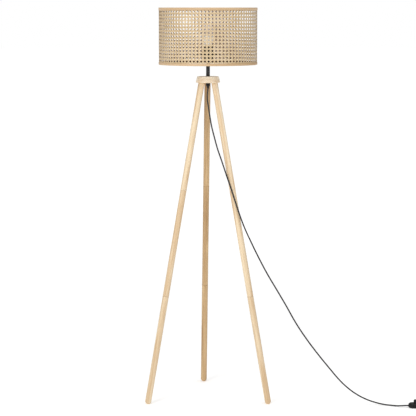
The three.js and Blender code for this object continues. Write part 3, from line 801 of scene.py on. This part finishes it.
class LAMP_OT_legs(bpy.types.Operator):
    """Turns the three sections of each of the three legs"""
    bl_idname = "lamp.legs"
    bl_label = "Legs"

    def execute(self, context):
        edge = context.scene.lamp_sizes.edge_round
        for number, side in enumerate(SIDES):
            matrix, joint = leg_frame(side)
            down, socket = leg_reach(side, matrix)
            ends = {"middle": (WOOD_JOINT, joint - WOOD_JOINT), "upper": (joint + WOOD_JOINT, socket)}
            outlines = {"lower": [
                (0, -down - LEG_RADIUS), *arc(0, -down, LEG_RADIUS, -90, 0, 16)[1:],
                *arc(LEG_RADIUS - edge, -WOOD_JOINT - edge, edge, 0, 90, 4), (0, -WOOD_JOINT)]}
            for part, (low, high) in ends.items():
                outlines[part] = [(0, low), *rounded_side(LEG_RADIUS, low, high, edge), (0, high)]
            for step, (part, outline) in enumerate(outlines.items()):
                section = turned(f"wood_leg_{part}_{side}", outline, steps=64, axis=Vector((0, 0, 0)))
                keep_grain(section, seed=10 * number + step)
                section.data.transform(matrix)
                if part == "lower":
                    trim(section, 0, -1)
                # The rear leg's wood is darker and also carries painted shade from the hub.
                look = "rear_wood" if side == "rear" else "leg_wood"
                if (part, side) == ("upper", "right"):
                    look = "upper_wood"  # the palest of the nine sections
                place(smooth(section), look, "pale_wood", f"leg_{part}_{side}")
        return {"FINISHED"}


class LAMP_OT_hub(bpy.types.Operator):
    """Turns the wooden hub and bores the leg sockets and the rod's pocket"""
    bl_idname = "lamp.hub"
    bl_label = "Hub"

    def execute(self, context):
        low, high = bottom("hub"), top("hub")
        wide = radius("hub")
        edge = 2.2 * MM
        narrow = wide - 5 * MM
        side = [*arc(wide - edge, low + edge, edge, -90, 10, 6),
                *arc(narrow - edge, high - edge, edge, 10, 90, 6)]
        hub = turned("wood_hub", [(0, low), *side, (0, high)], steps=128)
        depth = 40 * MM
        for leg in SIDES:
            matrix, _ = leg_frame(leg)
            up = matrix.to_3x3().col[2]
            _, socket = leg_reach(leg, matrix)
            centre = matrix.translation + up * (socket + GAP - depth / 2)
            cut(hub, cylinder("socket", LEG_RADIUS + GAP, depth, centre, up))
        pocket = low + 8 * MM
        cut(hub, cylinder("pocket", 10 * MM, 16 * MM, AXIS + Vector((0, 0, pocket - 8 * MM))))
        cut(hub, cylinder("bore", 5.2 * MM, 80 * MM, AXIS + Vector((0, 0, low))))
        keep_grain(hub, along="X", seed=77)
        # The hub's wood is lightened as painted light.
        place(smooth(hub), "hub_wood", "pale_wood", "hub")
        return {"FINISHED"}


# --- stem, gland and lampholder


class LAMP_OT_stem(bpy.types.Operator):
    """Makes the stem tube, and the cord gland under the hub"""
    bl_idname = "lamp.stem"
    bl_label = "Stem and gland"

    def execute(self, context):
        low, high = bottom("stem_tube"), top("stem_tube")
        out = radius("stem_tube")
        inside = out - 1.2 * MM
        side = rounded_side(out, low, high, 0.4 * MM)
        stem = turned("stem", [(inside, low), *side, (inside, high)])
        place(smooth(stem), "black_paint", "black_metal", "stem_tube")
        low, high = bottom("cord_gland"), top("cord_gland")
        out = radius("cord_gland")
        hole = radius("inner_lead") + 0.2 * MM
        round_off = 0.5 * MM
        bell = low + 6 * MM
        swell = [(4.1, -2), (4.7, -0.4), (5.8, 0.7), (6.9, 2.2), (7.7, 4.2), (8.1, 6.4)]
        gland = turned("cord_bell", [
            (hole, low), *arc(3.3 * MM, low + round_off, round_off, -90, 0, 3), *from_level(bell, *swell),
            *arc(out - round_off, high - round_off, round_off, 0, 90, 3), (hole, high)])
        place(smooth(gland, 50), "black_plastic", "black_plastic", "cord_gland")
        return {"FINISHED"}


class LAMP_OT_lampholder(bpy.types.Operator):
    """Makes the lampholder's cap and threaded shell, and the ring nut that holds the shade"""
    bl_idname = "lamp.lampholder"
    bl_label = "Lampholder"

    def execute(self, context):
        low, high = bottom("holder_cap"), top("holder_cap")
        out = radius("holder_cap")
        cap = turned("holder_dome", [
            (5.2 * MM, low), *arc(out - 9 * MM, low + 9 * MM, 9 * MM, -90, 0, 10), (out, high),
            (out - 2 * MM, high), *arc(out - 10 * MM, low + 11 * MM, 8 * MM, 0, -90, 8),
            (5.2 * MM, low + 3 * MM)])
        cap = smooth(soften(cap, 0.3 * MM, 2))
        place(cap, "black_plastic", "black_plastic", "holder_cap")
        low, high = bottom("holder_shell"), top("holder_shell")
        flange = radius("holder_shell")
        shoulder = low + 2.4 * MM
        tube = 19.5 * MM
        pitch = 2.5 * MM
        thread = []
        height = shoulder + 1.5 * MM
        while height + pitch < high - 4 * MM:
            thread += [(tube - 0.1 * MM, height), (tube - 0.9 * MM, height + pitch / 2)]
            height += pitch
        shell = turned("holder_thread", [
            (16.2 * MM, low), (flange, low), (flange, shoulder), (tube, shoulder), *thread,
            (tube - 0.1 * MM, height), (tube - 0.1 * MM, high - 1.2 * MM), (tube - 1.3 * MM, high),
            (16.2 * MM, high)])
        place(smooth(shell, 40), "black_plastic", "black_plastic", "holder_shell")
        low, high = bottom("shade_ring_nut"), top("shade_ring_nut")
        wide = radius("shade_ring_nut")
        inner = tube + GAP
        nut = turned("grip_ring", [
            (inner, low), (wide, low), (wide, low + 2.2 * MM), (wide - 1 * MM, low + 2.8 * MM),
            *from_level(low, (23.4, 3.2)), *from_level(high, (22.6, -0.6), (22, 0)), (inner, high)])
        nut = smooth(soften(nut, 0.25 * MM, 2))
        place(nut, "black_plastic", "black_plastic", "shade_ring_nut")
        return {"FINISHED"}


class LAMP_OT_bulb(bpy.types.Operator):
    """Makes the bulb: threaded cap, contact tip, housing and frosted dome"""
    bl_idname = "lamp.bulb"
    bl_label = "Bulb"

    def execute(self, context):
        low, high = bottom("bulb_tip"), top("bulb_tip")
        round_off = 0.7 * MM
        tip = turned("bulb_contact", [
            (0, low), (3 * MM, low), *arc(3.5 * MM, low + round_off, round_off, -90, -20, 4),
            (9.2 * MM, low + 3.4 * MM), (9.2 * MM, high), (0, high)])
        place(smooth(tip, 40), "black_plastic", "black_plastic", "bulb_tip", body=BULB_SCREW)
        low, high = bottom("bulb_cap"), top("bulb_cap")
        out = radius("bulb_cap")
        crest = 0.55 * MM
        thread = []
        pitch = 3.63 * MM
        height = low + 3.2 * MM
        while height + pitch < high - 2 * MM:
            thread += arc(out - crest, height + pitch / 4, crest, -70, 70, 4)
            thread.append((out - 1.0 * MM, height + pitch * 0.75))
            height += pitch
        cap = turned("bulb_thread", [
            (9.6 * MM, low), (out - 1.6 * MM, low + 0.6 * MM), (out - 0.9 * MM, low + 2.4 * MM), *thread,
            (out - 0.6 * MM, height + 0.5 * MM), (out - 0.1 * MM, high - 1.2 * MM), (out - 0.1 * MM, high),
            (out - 1.6 * MM, high), (out - 1.9 * MM, low + 3.2 * MM), (9.6 * MM, low + 0.8 * MM)], steps=72)
        place(smooth(cap, 50), "zinc", "bulb_metal", "bulb_cap", body=BULB)
        low, high = bottom("bulb_housing"), top("bulb_housing")
        neck = top("bulb_cap") + GAP
        rim = radius("bulb_housing")
        swell = [(14.5, 5), (15.6, 10), (17.4, 15), (19.8, 20), (22.2, 26), (24.6, 31.5)]
        housing = turned("bulb_body", [
            *from_level(low, (11, 0), (12.2, 0)), (12.2 * MM, neck),
            *arc(13.6 * MM, neck + 0.5 * MM, 0.5 * MM, -90, 0, 3), *from_level(neck, *swell),
            (rim, high), (rim - 1.2 * MM, high),
            *from_level(neck, (20.6, 26), (16, 15), (13.2, 5), (11, -1))])
        place(smooth(housing, 50), "white_plastic", "white_plastic", "bulb_housing", body=BULB)
        size = radius("bulb_diffuser")
        centre = top("bulb_diffuser") - size
        outer = arc(0, centre, size, -25, 90, 28)
        inner = arc(0, centre, size - 1.2 * MM, 90, -25, 20)
        dome = turned("bulb_dome", [*outer[:-1], (0, outer[-1][1]), (0, inner[0][1]), *inner[1:]])
        place(smooth(dome, 60), "frosted_dome", "frosted_plastic", "bulb_diffuser", body=BULB)
        return {"FINISHED"}


# --- shade

WIRE = 4 * MM
SPIDER_AZIMUTHS = (90, 210, 330)


def wire_ring(name, out, height):
    return turned(name, arc(out, height, WIRE / 2, 0, 360, 12)[:-1], steps=144)


class LAMP_OT_shade_frame(bpy.types.Operator):
    """Makes the shade's wire rings, its three arms and the collar that sits on the lampholder"""
    bl_idname = "lamp.shade_frame"
    bl_label = "Shade frame"

    def execute(self, context):
        ring_out = radius("shade_top_ring") - WIRE / 2
        top_ring = wire_ring("wire_top_ring", ring_out, middle("shade_top_ring").z)
        place(smooth(top_ring, 60), "black_paint", "shade_wire", "shade_top_ring")
        low_ring = bottom("shade_spider") + WIRE / 2
        collar = bottom("shade_ring_nut") - 1.9 * MM
        corners = [(20.3, 0), (30, 0), (30, 1.6), (20.3, 1.6)]
        parts = [soften(turned("collar", from_level(collar, *corners)), 0.3 * MM, 2),
                 wire_ring("ring", ring_out, low_ring)]
        level = min(collar + 0.8 * MM, top("shade_spider") - WIRE / 2)
        for azimuth in SPIDER_AZIMUTHS:
            out = Vector((math.cos(math.radians(azimuth)), math.sin(math.radians(azimuth)), 0))
            route = [*from_level(level, (27.5, 0), (40, 0), (56, -2.4)), (ring_out, low_ring)]
            points = [AXIS + out * distance + Vector((0, 0, height)) for distance, height in route]
            parts.append(round_bar("arm", points, WIRE))
        place(smooth(joined("wire_spider", parts), 60), "black_paint", "shade_wire", "shade_spider")
        return {"FINISHED"}


class LAMP_OT_shade_bands(bpy.types.Operator):
    """Makes the two thin wooden strips that bind the shade's edges"""
    bl_idname = "lamp.shade_bands"
    bl_label = "Shade bands"

    def execute(self, context):
        out = radius("shade_webbing") + GAP + 0.7 * MM
        lip = radius("shade_top_ring") - WIRE
        wall = 0.7 * MM
        edge = 0.3 * MM
        tall = top("shade_top_band") - bottom("shade_top_band")
        for name, node, level, turn in (
                ("strip_top", "shade_top_band", top("shade_top_band"), -1),
                ("strip_bottom", "shade_bottom_band", bottom("shade_bottom_band"), 1)):
            far = level + turn * tall
            near = level + turn * wall
            strip = turned(name, [
                (lip, level), (out - 0.8 * MM, level), (out - edge, level + turn * edge),
                (out, level + turn * 1.2 * MM), (out, far - turn * edge), (out - edge, far),
                (out - wall, far), (out - wall, near), (lip, near)], steps=192)
            places = points_of(strip) - np.array(AXIS, np.float32)
            around = np.arctan2(places[:, 1], places[:, 0]) * out
            keep_places(strip, "grain", np.stack([places[:, 2], places[:, 0] * 0, around], axis=1))
            place(smooth(strip, 50), "band_strip", "band_wood", node)
        return {"FINISHED"}


def straight_strand(name, span, steps, across):
    """A flat strand standing at the origin: a bar with its long edges divided."""
    strand = block(name, (0, 0, 0), (across, bpy.context.scene.lamp_sizes.cane_thickness, span))
    with editing(strand, "EDGE"):
        pick("EDGE", lambda edge: abs(edge_direction(edge).z) > 0.99)
        bpy.ops.mesh.subdivide(number_cuts=steps - 1)
    return strand


def repeat(piece, count, step):
    """Repeats a strand along the sheet, and gives each copy's number for every point."""
    each = len(piece.data.vertices)
    add_modifier(piece, "ARRAY", count=count, use_relative_offset=False, use_constant_offset=True,
                 constant_offset_displace=(step, 0, 0))
    apply_all(piece)
    return np.repeat(np.arange(count), each)


class Sheet:
    """The flat cane sheet before it is rolled: x runs round the drum, z up, and depth is out of the sheet."""

    def __init__(self):
        sizes = bpy.context.scene.lamp_sizes
        self.out = radius("shade_webbing") - 0.7 * MM
        self.columns = sizes.cane_columns
        self.across = math.tau * self.out / self.columns
        self.up = sizes.cane_pitch
        self.row = sizes.cane_lowest_row - self.up / 2
        self.spread = sizes.pair_spread
        self.start = sizes.cane_start
        self.sink = sizes.cane_sink
        self.low = bottom("shade_webbing") + self.sink
        self.high = top("shade_webbing")
        self.plain_wave = sizes.cane_thickness * 0.55
        self.slant_wave = sizes.cane_thickness * 1.05

    def weave(self, phase):
        """Over one strand of the crossing pair and under the other, and level midway to the next pair."""
        return (np.sin(phase) + 0.5 * np.sin(2 * phase)) / 1.3

    def roll(self, piece, places, flat, depth, strand):
        """Rolls the sheet into the drum. A point is inside where it is behind its strand's middle."""
        angle = (places[:, 0] - self.across / 2 + self.start) / self.out - math.pi / 2
        out = self.out + depth
        height = places[:, 2] - self.sink * (1 + np.sin(angle)) / 2
        rolled = np.stack([AXIS.x + out * np.cos(angle), AXIS.y + out * np.sin(angle), height], axis=1)
        keep_places(piece, "strand", strand)
        inside = piece.data.attributes.new("inside", "FLOAT", "POINT")
        inside.data.foreach_set("value", (flat < 0).astype(np.float32))
        piece.data.vertices.foreach_set("co", rolled.astype(np.float32).ravel())
        piece.data.update()


def finish_strands(piece):
    with editing(piece):
        bpy.ops.mesh.normals_make_consistent(inside=False)
    place(smooth(piece, 60), "woven_cane", "cane", "shade_webbing")


def standing_strands(sheet, name, steps_per_cell, slope=1):
    """A strand for each column, with each point's strand number and its place across the strand, -1 to 1."""
    width = bpy.context.scene.lamp_sizes.cane_width
    span = sheet.high - sheet.low
    piece = straight_strand(name, span, round(span / sheet.up * steps_per_cell), width * slope)
    number = repeat(piece, sheet.columns, sheet.across)
    places = points_of(piece)
    across = (places[:, 0] - number * sheet.across) / (width / 2 * slope)
    places[:, 2] += (sheet.low + sheet.high) / 2
    return piece, places, places[:, 1].copy(), number, across


def upright_strands(sheet, side):
    """Every upright strand on one side of its pair."""
    turn = 1 if side == "right" else -1
    piece, places, flat, number, across = standing_strands(sheet, f"cane_upright_{side}", 7)
    places[:, 0] += turn * sheet.spread
    phase = math.tau * (places[:, 2] - sheet.row) / sheet.up
    depth = turn * sheet.plain_wave * sheet.weave(phase) + flat
    strand = np.stack([places[:, 2], across, number * 2.0 + turn], axis=1)
    sheet.roll(piece, places, flat, depth, strand)
    finish_strands(piece)


def slanting_strands(sheet, side):
    """Every strand that slants one way. It passes outside one set of pairs and inside the other."""
    turn = 1 if side == "right" else -1
    lean = turn * sheet.across / sheet.up
    slope = math.hypot(1, lean)
    piece, places, flat, number, across = standing_strands(sheet, f"cane_slant_{side}", 8, slope)
    rise = places[:, 2] - sheet.row
    places[:, 0] += lean * rise + sheet.across / 2
    phase = math.tau * (number * sheet.across + lean * rise + sheet.across / 2) / sheet.across
    depth = turn * sheet.slant_wave * np.cos(phase) + flat
    strand = np.stack([rise * slope, across, 1000.0 + number * 2 + turn], axis=1)
    sheet.roll(piece, places, flat, depth, strand)
    finish_strands(piece)


def round_strands(sheet, side):
    """Every level hoop on one side of its pair, made as one strand and closed on itself."""
    sizes = bpy.context.scene.lamp_sizes
    turn = -1 if side == "upper" else 1
    half = sizes.cane_width / 2
    thick = sizes.cane_thickness / 2
    hoops = []
    for row in range(math.floor((sheet.high - sheet.row) / sheet.up) + 1):
        height = sheet.row + row * sheet.up - turn * sheet.spread
        if not sheet.low + half < height < sheet.high - half:
            continue
        outline = [(sheet.out - thick, height - half), (sheet.out + thick, height - half),
                   (sheet.out + thick, height + half), (sheet.out - thick, height + half)]
        hoop = turned("hoop", outline, steps=sheet.columns * 7)
        places = points_of(hoop)
        round_axis = places - np.array(AXIS, np.float32)
        angle = np.arctan2(round_axis[:, 1], round_axis[:, 0]) + math.pi / 2
        flat = np.hypot(round_axis[:, 0], round_axis[:, 1]) - sheet.out
        along = angle * sheet.out
        depth = turn * sheet.plain_wave * sheet.weave(math.tau * along / sheet.across) + flat
        across = (places[:, 2] - height) / half
        number = np.full(len(places), 500.0 + 2 * row + turn)
        unrolled = np.stack([along, flat, places[:, 2]], axis=1)
        sheet.roll(hoop, unrolled, flat, depth, np.stack([along, across, number], axis=1))
        hoops.append(hoop)
    finish_strands(joined(f"cane_hoops_{side}", hoops))


class LAMP_OT_shade_cane(bpy.types.Operator):
    """Weaves the shade's cane strand by strand and rolls it into a drum"""
    bl_idname = "lamp.shade_cane"
    bl_label = "Woven cane"

    def execute(self, context):
        sheet = Sheet()
        for side in ("left", "right"):
            upright_strands(sheet, side)
            slanting_strands(sheet, side)
        for side in ("lower", "upper"):
            round_strands(sheet, side)
        return {"FINISHED"}


# --- foot switch, tie and plug

PARTING = 8.6 * MM
PARTING_GAP = 0.15 * MM
SPRING_WIRE = 0.6 * MM
SPRING_TURNS = 6
SPRING_STEPS = 12
DEAD_TURN = 0.75
SHELL_WALL = 1.8 * MM


def pebble(name, inset=0):
    """The foot switch's whole outside: a block rounded to a stadium and then all round."""
    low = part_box("switch_base")[0]
    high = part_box("switch_cover")[1]
    size = high - low - Vector((inset, inset, inset)) * 2
    piece = block(name, (low + high) / 2, size)
    with editing(piece, "EDGE"):
        pick("EDGE", lambda edge: abs(edge_direction(edge).z) > 0.99)
        bpy.ops.mesh.bevel(offset=size.y * 0.499, segments=24, profile=0.5)
        pick("EDGE", lambda edge: abs(edge_direction(edge).z) < 0.01)
        bpy.ops.mesh.bevel(offset=8 * MM - inset, segments=8, profile=0.5)
    return close_up(piece, 10 * WELD)


def half_shell(name, side):
    """The cover, side 1, or the base, side -1: a part of the pebble, hollowed and bored for the cords."""
    shell = pebble(name)
    trim(shell, PARTING + side * PARTING_GAP, -side)
    cut(close_up(shell), pebble("hollow", SHELL_WALL))
    low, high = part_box("switch_base")
    for end in (low.x, high.x):
        port = (end, (low.y + high.y) / 2, PARTING)
        cut(shell, cylinder("port", 3.0 * MM, 12 * MM, port, (1, 0, 0), sides=32))
    return shell


class LAMP_OT_foot_switch(bpy.types.Operator):
    """Makes the foot switch: its base, its cover, the round button and the spring"""
    bl_idname = "lamp.foot_switch"
    bl_label = "Foot switch"

    def execute(self, context):
        centre = middle("switch_button")
        axis = Vector((centre.x, centre.y, 0))
        size = 12.2 * MM
        base = half_shell("foot_switch_base", -1)
        place(smooth(base, 40), "black_plastic", "black_plastic", "switch_base")
        cover = half_shell("foot_switch_cover", 1)
        cut(cover, cylinder("opening", size + GAP, 30 * MM, (centre.x, centre.y, top("switch_cover"))))
        place(smooth(cover, 40), "black_plastic", "black_plastic", "switch_cover")
        low, high = bottom("switch_button"), top("switch_button")
        crown = 2.6 * MM
        button = turned("foot_switch_button", [
            *from_level(high, (0, -3.7), (8.5, -3.7), (9.8, -5.2)),
            *from_level(low, (9.8, 0), (14, 0), (14, 1.5)), (size, low + 1.5 * MM), (size, high - 4 * MM),
            *arc(size - crown, high - 3.4 * MM, crown, 0, 62, 8),
            *from_level(high, (8, -0.75), (5, -0.3), (2.5, -0.08), (0, 0))], steps=72, axis=axis)
        place(smooth(button, 40), "black_plastic", "black_plastic", "switch_button", body=SWITCH_BUTTON)
        self.make_spring(axis)
        return {"FINISHED"}

    def make_spring(self, axis):
        """The spring under the button, with closed ends."""
        low, high = bottom("switch_spring") + SPRING_WIRE / 2, top("switch_spring") - SPRING_WIRE / 2
        out = radius("switch_spring") - SPRING_WIRE / 2
        closed = SPRING_WIRE * 1.5
        points = []
        for step in range(SPRING_TURNS * SPRING_STEPS + 1):
            share = step / (SPRING_TURNS * SPRING_STEPS)
            rise = (share * SPRING_TURNS - DEAD_TURN) / (SPRING_TURNS - 2 * DEAD_TURN)
            lead_in = min(share * SPRING_TURNS, DEAD_TURN) - DEAD_TURN
            lead_out = min((1 - share) * SPRING_TURNS, DEAD_TURN)
            height = low + closed + (high - low - closed) * min(max(rise, 0), 1)
            height += SPRING_WIRE * (lead_in - lead_out)
            angle = math.tau * SPRING_TURNS * share
            points.append(axis + Vector((out * math.cos(angle), out * math.sin(angle), height)))
        spring = round_bar("press_spring", points, SPRING_WIRE, joints=2)
        place(smooth(spring, 60), "zinc", "steel", "switch_spring")
        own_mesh(spring)


class LAMP_OT_plug(bpy.types.Operator):
    """Makes the plug's head, its ribbed sleeve and its pins, and the tie round the coil"""
    bl_idname = "lamp.plug"
    bl_label = "Plug and tie"

    def execute(self, context):
        self.make_head()
        self.make_pins()
        self.make_sleeve()
        self.make_tie()
        return {"FINISHED"}

    def make_head(self):
        """A block that narrows to the sleeve, with a straight front that is drilled for the pins."""
        low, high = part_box("plug_body")
        centre = (low + high) / 2
        sleeve_end = low.y + 26 * MM
        taper_end = high.y - 14 * MM
        taper = taper_end - sleeve_end + 3 * MM
        head = block("plug_head", (centre.x, taper_end - taper / 2, centre.z),
                     (high.x - low.x, taper, high.z - low.z))
        front = (0, high.y - taper_end, 0)
        with editing(head):
            pick("FACE", lambda face: face.normal.y > 0.9)
            bpy.ops.mesh.extrude_region_move(TRANSFORM_OT_translate={"value": front})
            pick("FACE", lambda face: face.normal.y < -0.9)
            bpy.ops.transform.resize(value=(0.42, 1, 0.84))
        close_up(head)
        soften(head, 2.6 * MM, 5, 15)
        for out in self.pin_places():
            cut(head, cylinder("pin_hole", 2.3 * MM, 15.2 * MM, (out, high.y, centre.z), (0, 1, 0), sides=32))
        place(smooth(head, 40), "black_plastic", "black_plastic", "plug_body")

    def pin_places(self):
        low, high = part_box("plug_body")
        offset = (middle("plug_pin_right").x - middle("plug_pin_left").x) / 2
        return [(low.x + high.x) / 2 - offset, (low.x + high.x) / 2 + offset]

    def make_pins(self):
        low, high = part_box("plug_pin_left")
        reach = high.y - low.y
        pins = []
        for out in self.pin_places():
            pin = turned("pin", [
                (0, 0), (2 * MM, 0), (2 * MM, reach - 1.6 * MM),
                *arc(0.6 * MM, reach - 1.4 * MM, 1.4 * MM, 0, 90, 6), (0, reach)],
                steps=32, axis=Vector((0, 0, 0)))
            pins.append(self.laid(pin, (out, low.y, middle("plug_body").z)))
        place(smooth(joined("plug_pins", pins), 40), "zinc", "steel", "plug_pin_left", "plug_pin_right")

    def make_sleeve(self):
        outline = [(2.9, 0), (4.1, 0)]
        for rib in range(5):
            start = 2 + rib * 4.4
            out = 4.2 + rib * 0.32
            outline += [(out, start), (out, start + 2.6), (out - 0.7, start + 3), (out - 0.7, start + 4)]
        outline += [(5.6, 24.4), (5.6, 27), (2.9, 27)]
        sleeve = turned("plug_sleeve", from_level(0, *outline), steps=48, axis=Vector((0, 0, 0)))
        centre = middle("plug_body")
        self.laid(sleeve, (centre.x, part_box("plug_body")[0].y, centre.z))
        place(smooth(sleeve, 40), "black_plastic", "black_plastic")

    def laid(self, piece, place_of_end):
        """Lays a piece that was turned upright along +Y."""
        piece.data.transform(Matrix.Translation(place_of_end) @ Matrix.Rotation(-math.pi / 2, 4, "X"))
        return piece

    def make_tie(self):
        low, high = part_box("cord_tie")
        tie = block("coil_tie", (low + high) / 2, high - low)
        with editing(tie, "EDGE"):
            pick("EDGE", lambda edge: abs(edge_direction(edge).x) > 0.99)
            bpy.ops.mesh.bevel(offset=2.4 * MM, segments=6, profile=0.5)
            pick("FACE", lambda face: abs(face.normal.x) > 0.9)
            bpy.ops.mesh.delete(type="FACE")
        add_modifier(tie, "SOLIDIFY", thickness=0.9 * MM, offset=-1)
        apply_all(tie)
        place(smooth(soften(tie, 0.25 * MM, 2), 40), "black_plastic", "black_plastic", "cord_tie")


# --- finishes of the frame's own nodes

NODE_FINISHES = {
    "rod_washer": "zinc",
    "rod_nut": "zinc",
    "threaded_rod": "zinc",
    "inner_lead": "cord_sheath",
    "holder_core": "white_plastic",
    "screw_shell": "brass",
    "centre_contact": "brass",
    "terminal_screw_left": "zinc",
    "terminal_screw_right": "zinc",
    "led_board": "white_plastic",
    "switch_module": "white_plastic",
    "switch_screw_left": "zinc",
    "switch_screw_right": "zinc",
}


class LAMP_OT_node_finishes(bpy.types.Operator):
    """Gives the frame's own nodes, such as the studs and contacts, their materials"""
    bl_idname = "lamp.node_finishes"
    bl_label = "Inner pieces"

    def execute(self, context):
        chosen = dict(NODE_FINISHES)
        for side in SIDES:
            for stud in ("leg_top_stud", "upper_joint_stud", "lower_joint_stud"):
                chosen[f"{stud}_{side}"] = "zinc"
        for name, look in chosen.items():
            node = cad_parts[name]
            node.data.materials.clear()
            node.data.materials.append(finish(look))
        return {"FINISHED"}


# --- panel, registration and the making


MAKING = (
    LAMP_OT_stage, LAMP_OT_cords, LAMP_OT_legs, LAMP_OT_hub, LAMP_OT_stem, LAMP_OT_lampholder, LAMP_OT_bulb,
    LAMP_OT_shade_frame, LAMP_OT_shade_bands, LAMP_OT_shade_cane, LAMP_OT_foot_switch, LAMP_OT_plug,
    LAMP_OT_declare_cords, LAMP_OT_node_finishes,
)


class LAMP_PT_panel(bpy.types.Panel):
    """Lists the lamp's settings and the operators that build it"""
    bl_idname = "LAMP_PT_panel"
    bl_label = "Tripod floor lamp"
    bl_space_type = "VIEW_3D"
    bl_region_type = "UI"
    bl_category = "Lamp"

    def draw(self, context):
        for group in (context.scene.lamp_sizes, context.scene.lamp_colours, context.scene.lamp_stage):
            box = self.layout.box()
            for key in group.bl_rna.properties.keys():
                if key not in ("rna_type", "name"):
                    box.prop(group, key)
        column = self.layout.column()
        for operator in MAKING:
            column.operator(operator.bl_idname)


GROUPS = {"lamp_sizes": LampSizes, "lamp_colours": LampColours, "lamp_stage": LampStage}


def register():
    for group in (*GROUPS.values(), *MAKING, LAMP_PT_panel):
        bpy.utils.register_class(group)
    for name, group in GROUPS.items():
        setattr(bpy.types.Scene, name, bpy.props.PointerProperty(type=group))


def unregister():
    for name in GROUPS:
        delattr(bpy.types.Scene, name)
    for group in (LAMP_PT_panel, *reversed(MAKING), *reversed(GROUPS.values())):
        bpy.utils.unregister_class(group)


def main():
    register()
    for operator in MAKING:
        group, name = operator.bl_idname.split(".")
        getattr(getattr(bpy.ops, group), name)()


if __name__ == "__main__":
    main()
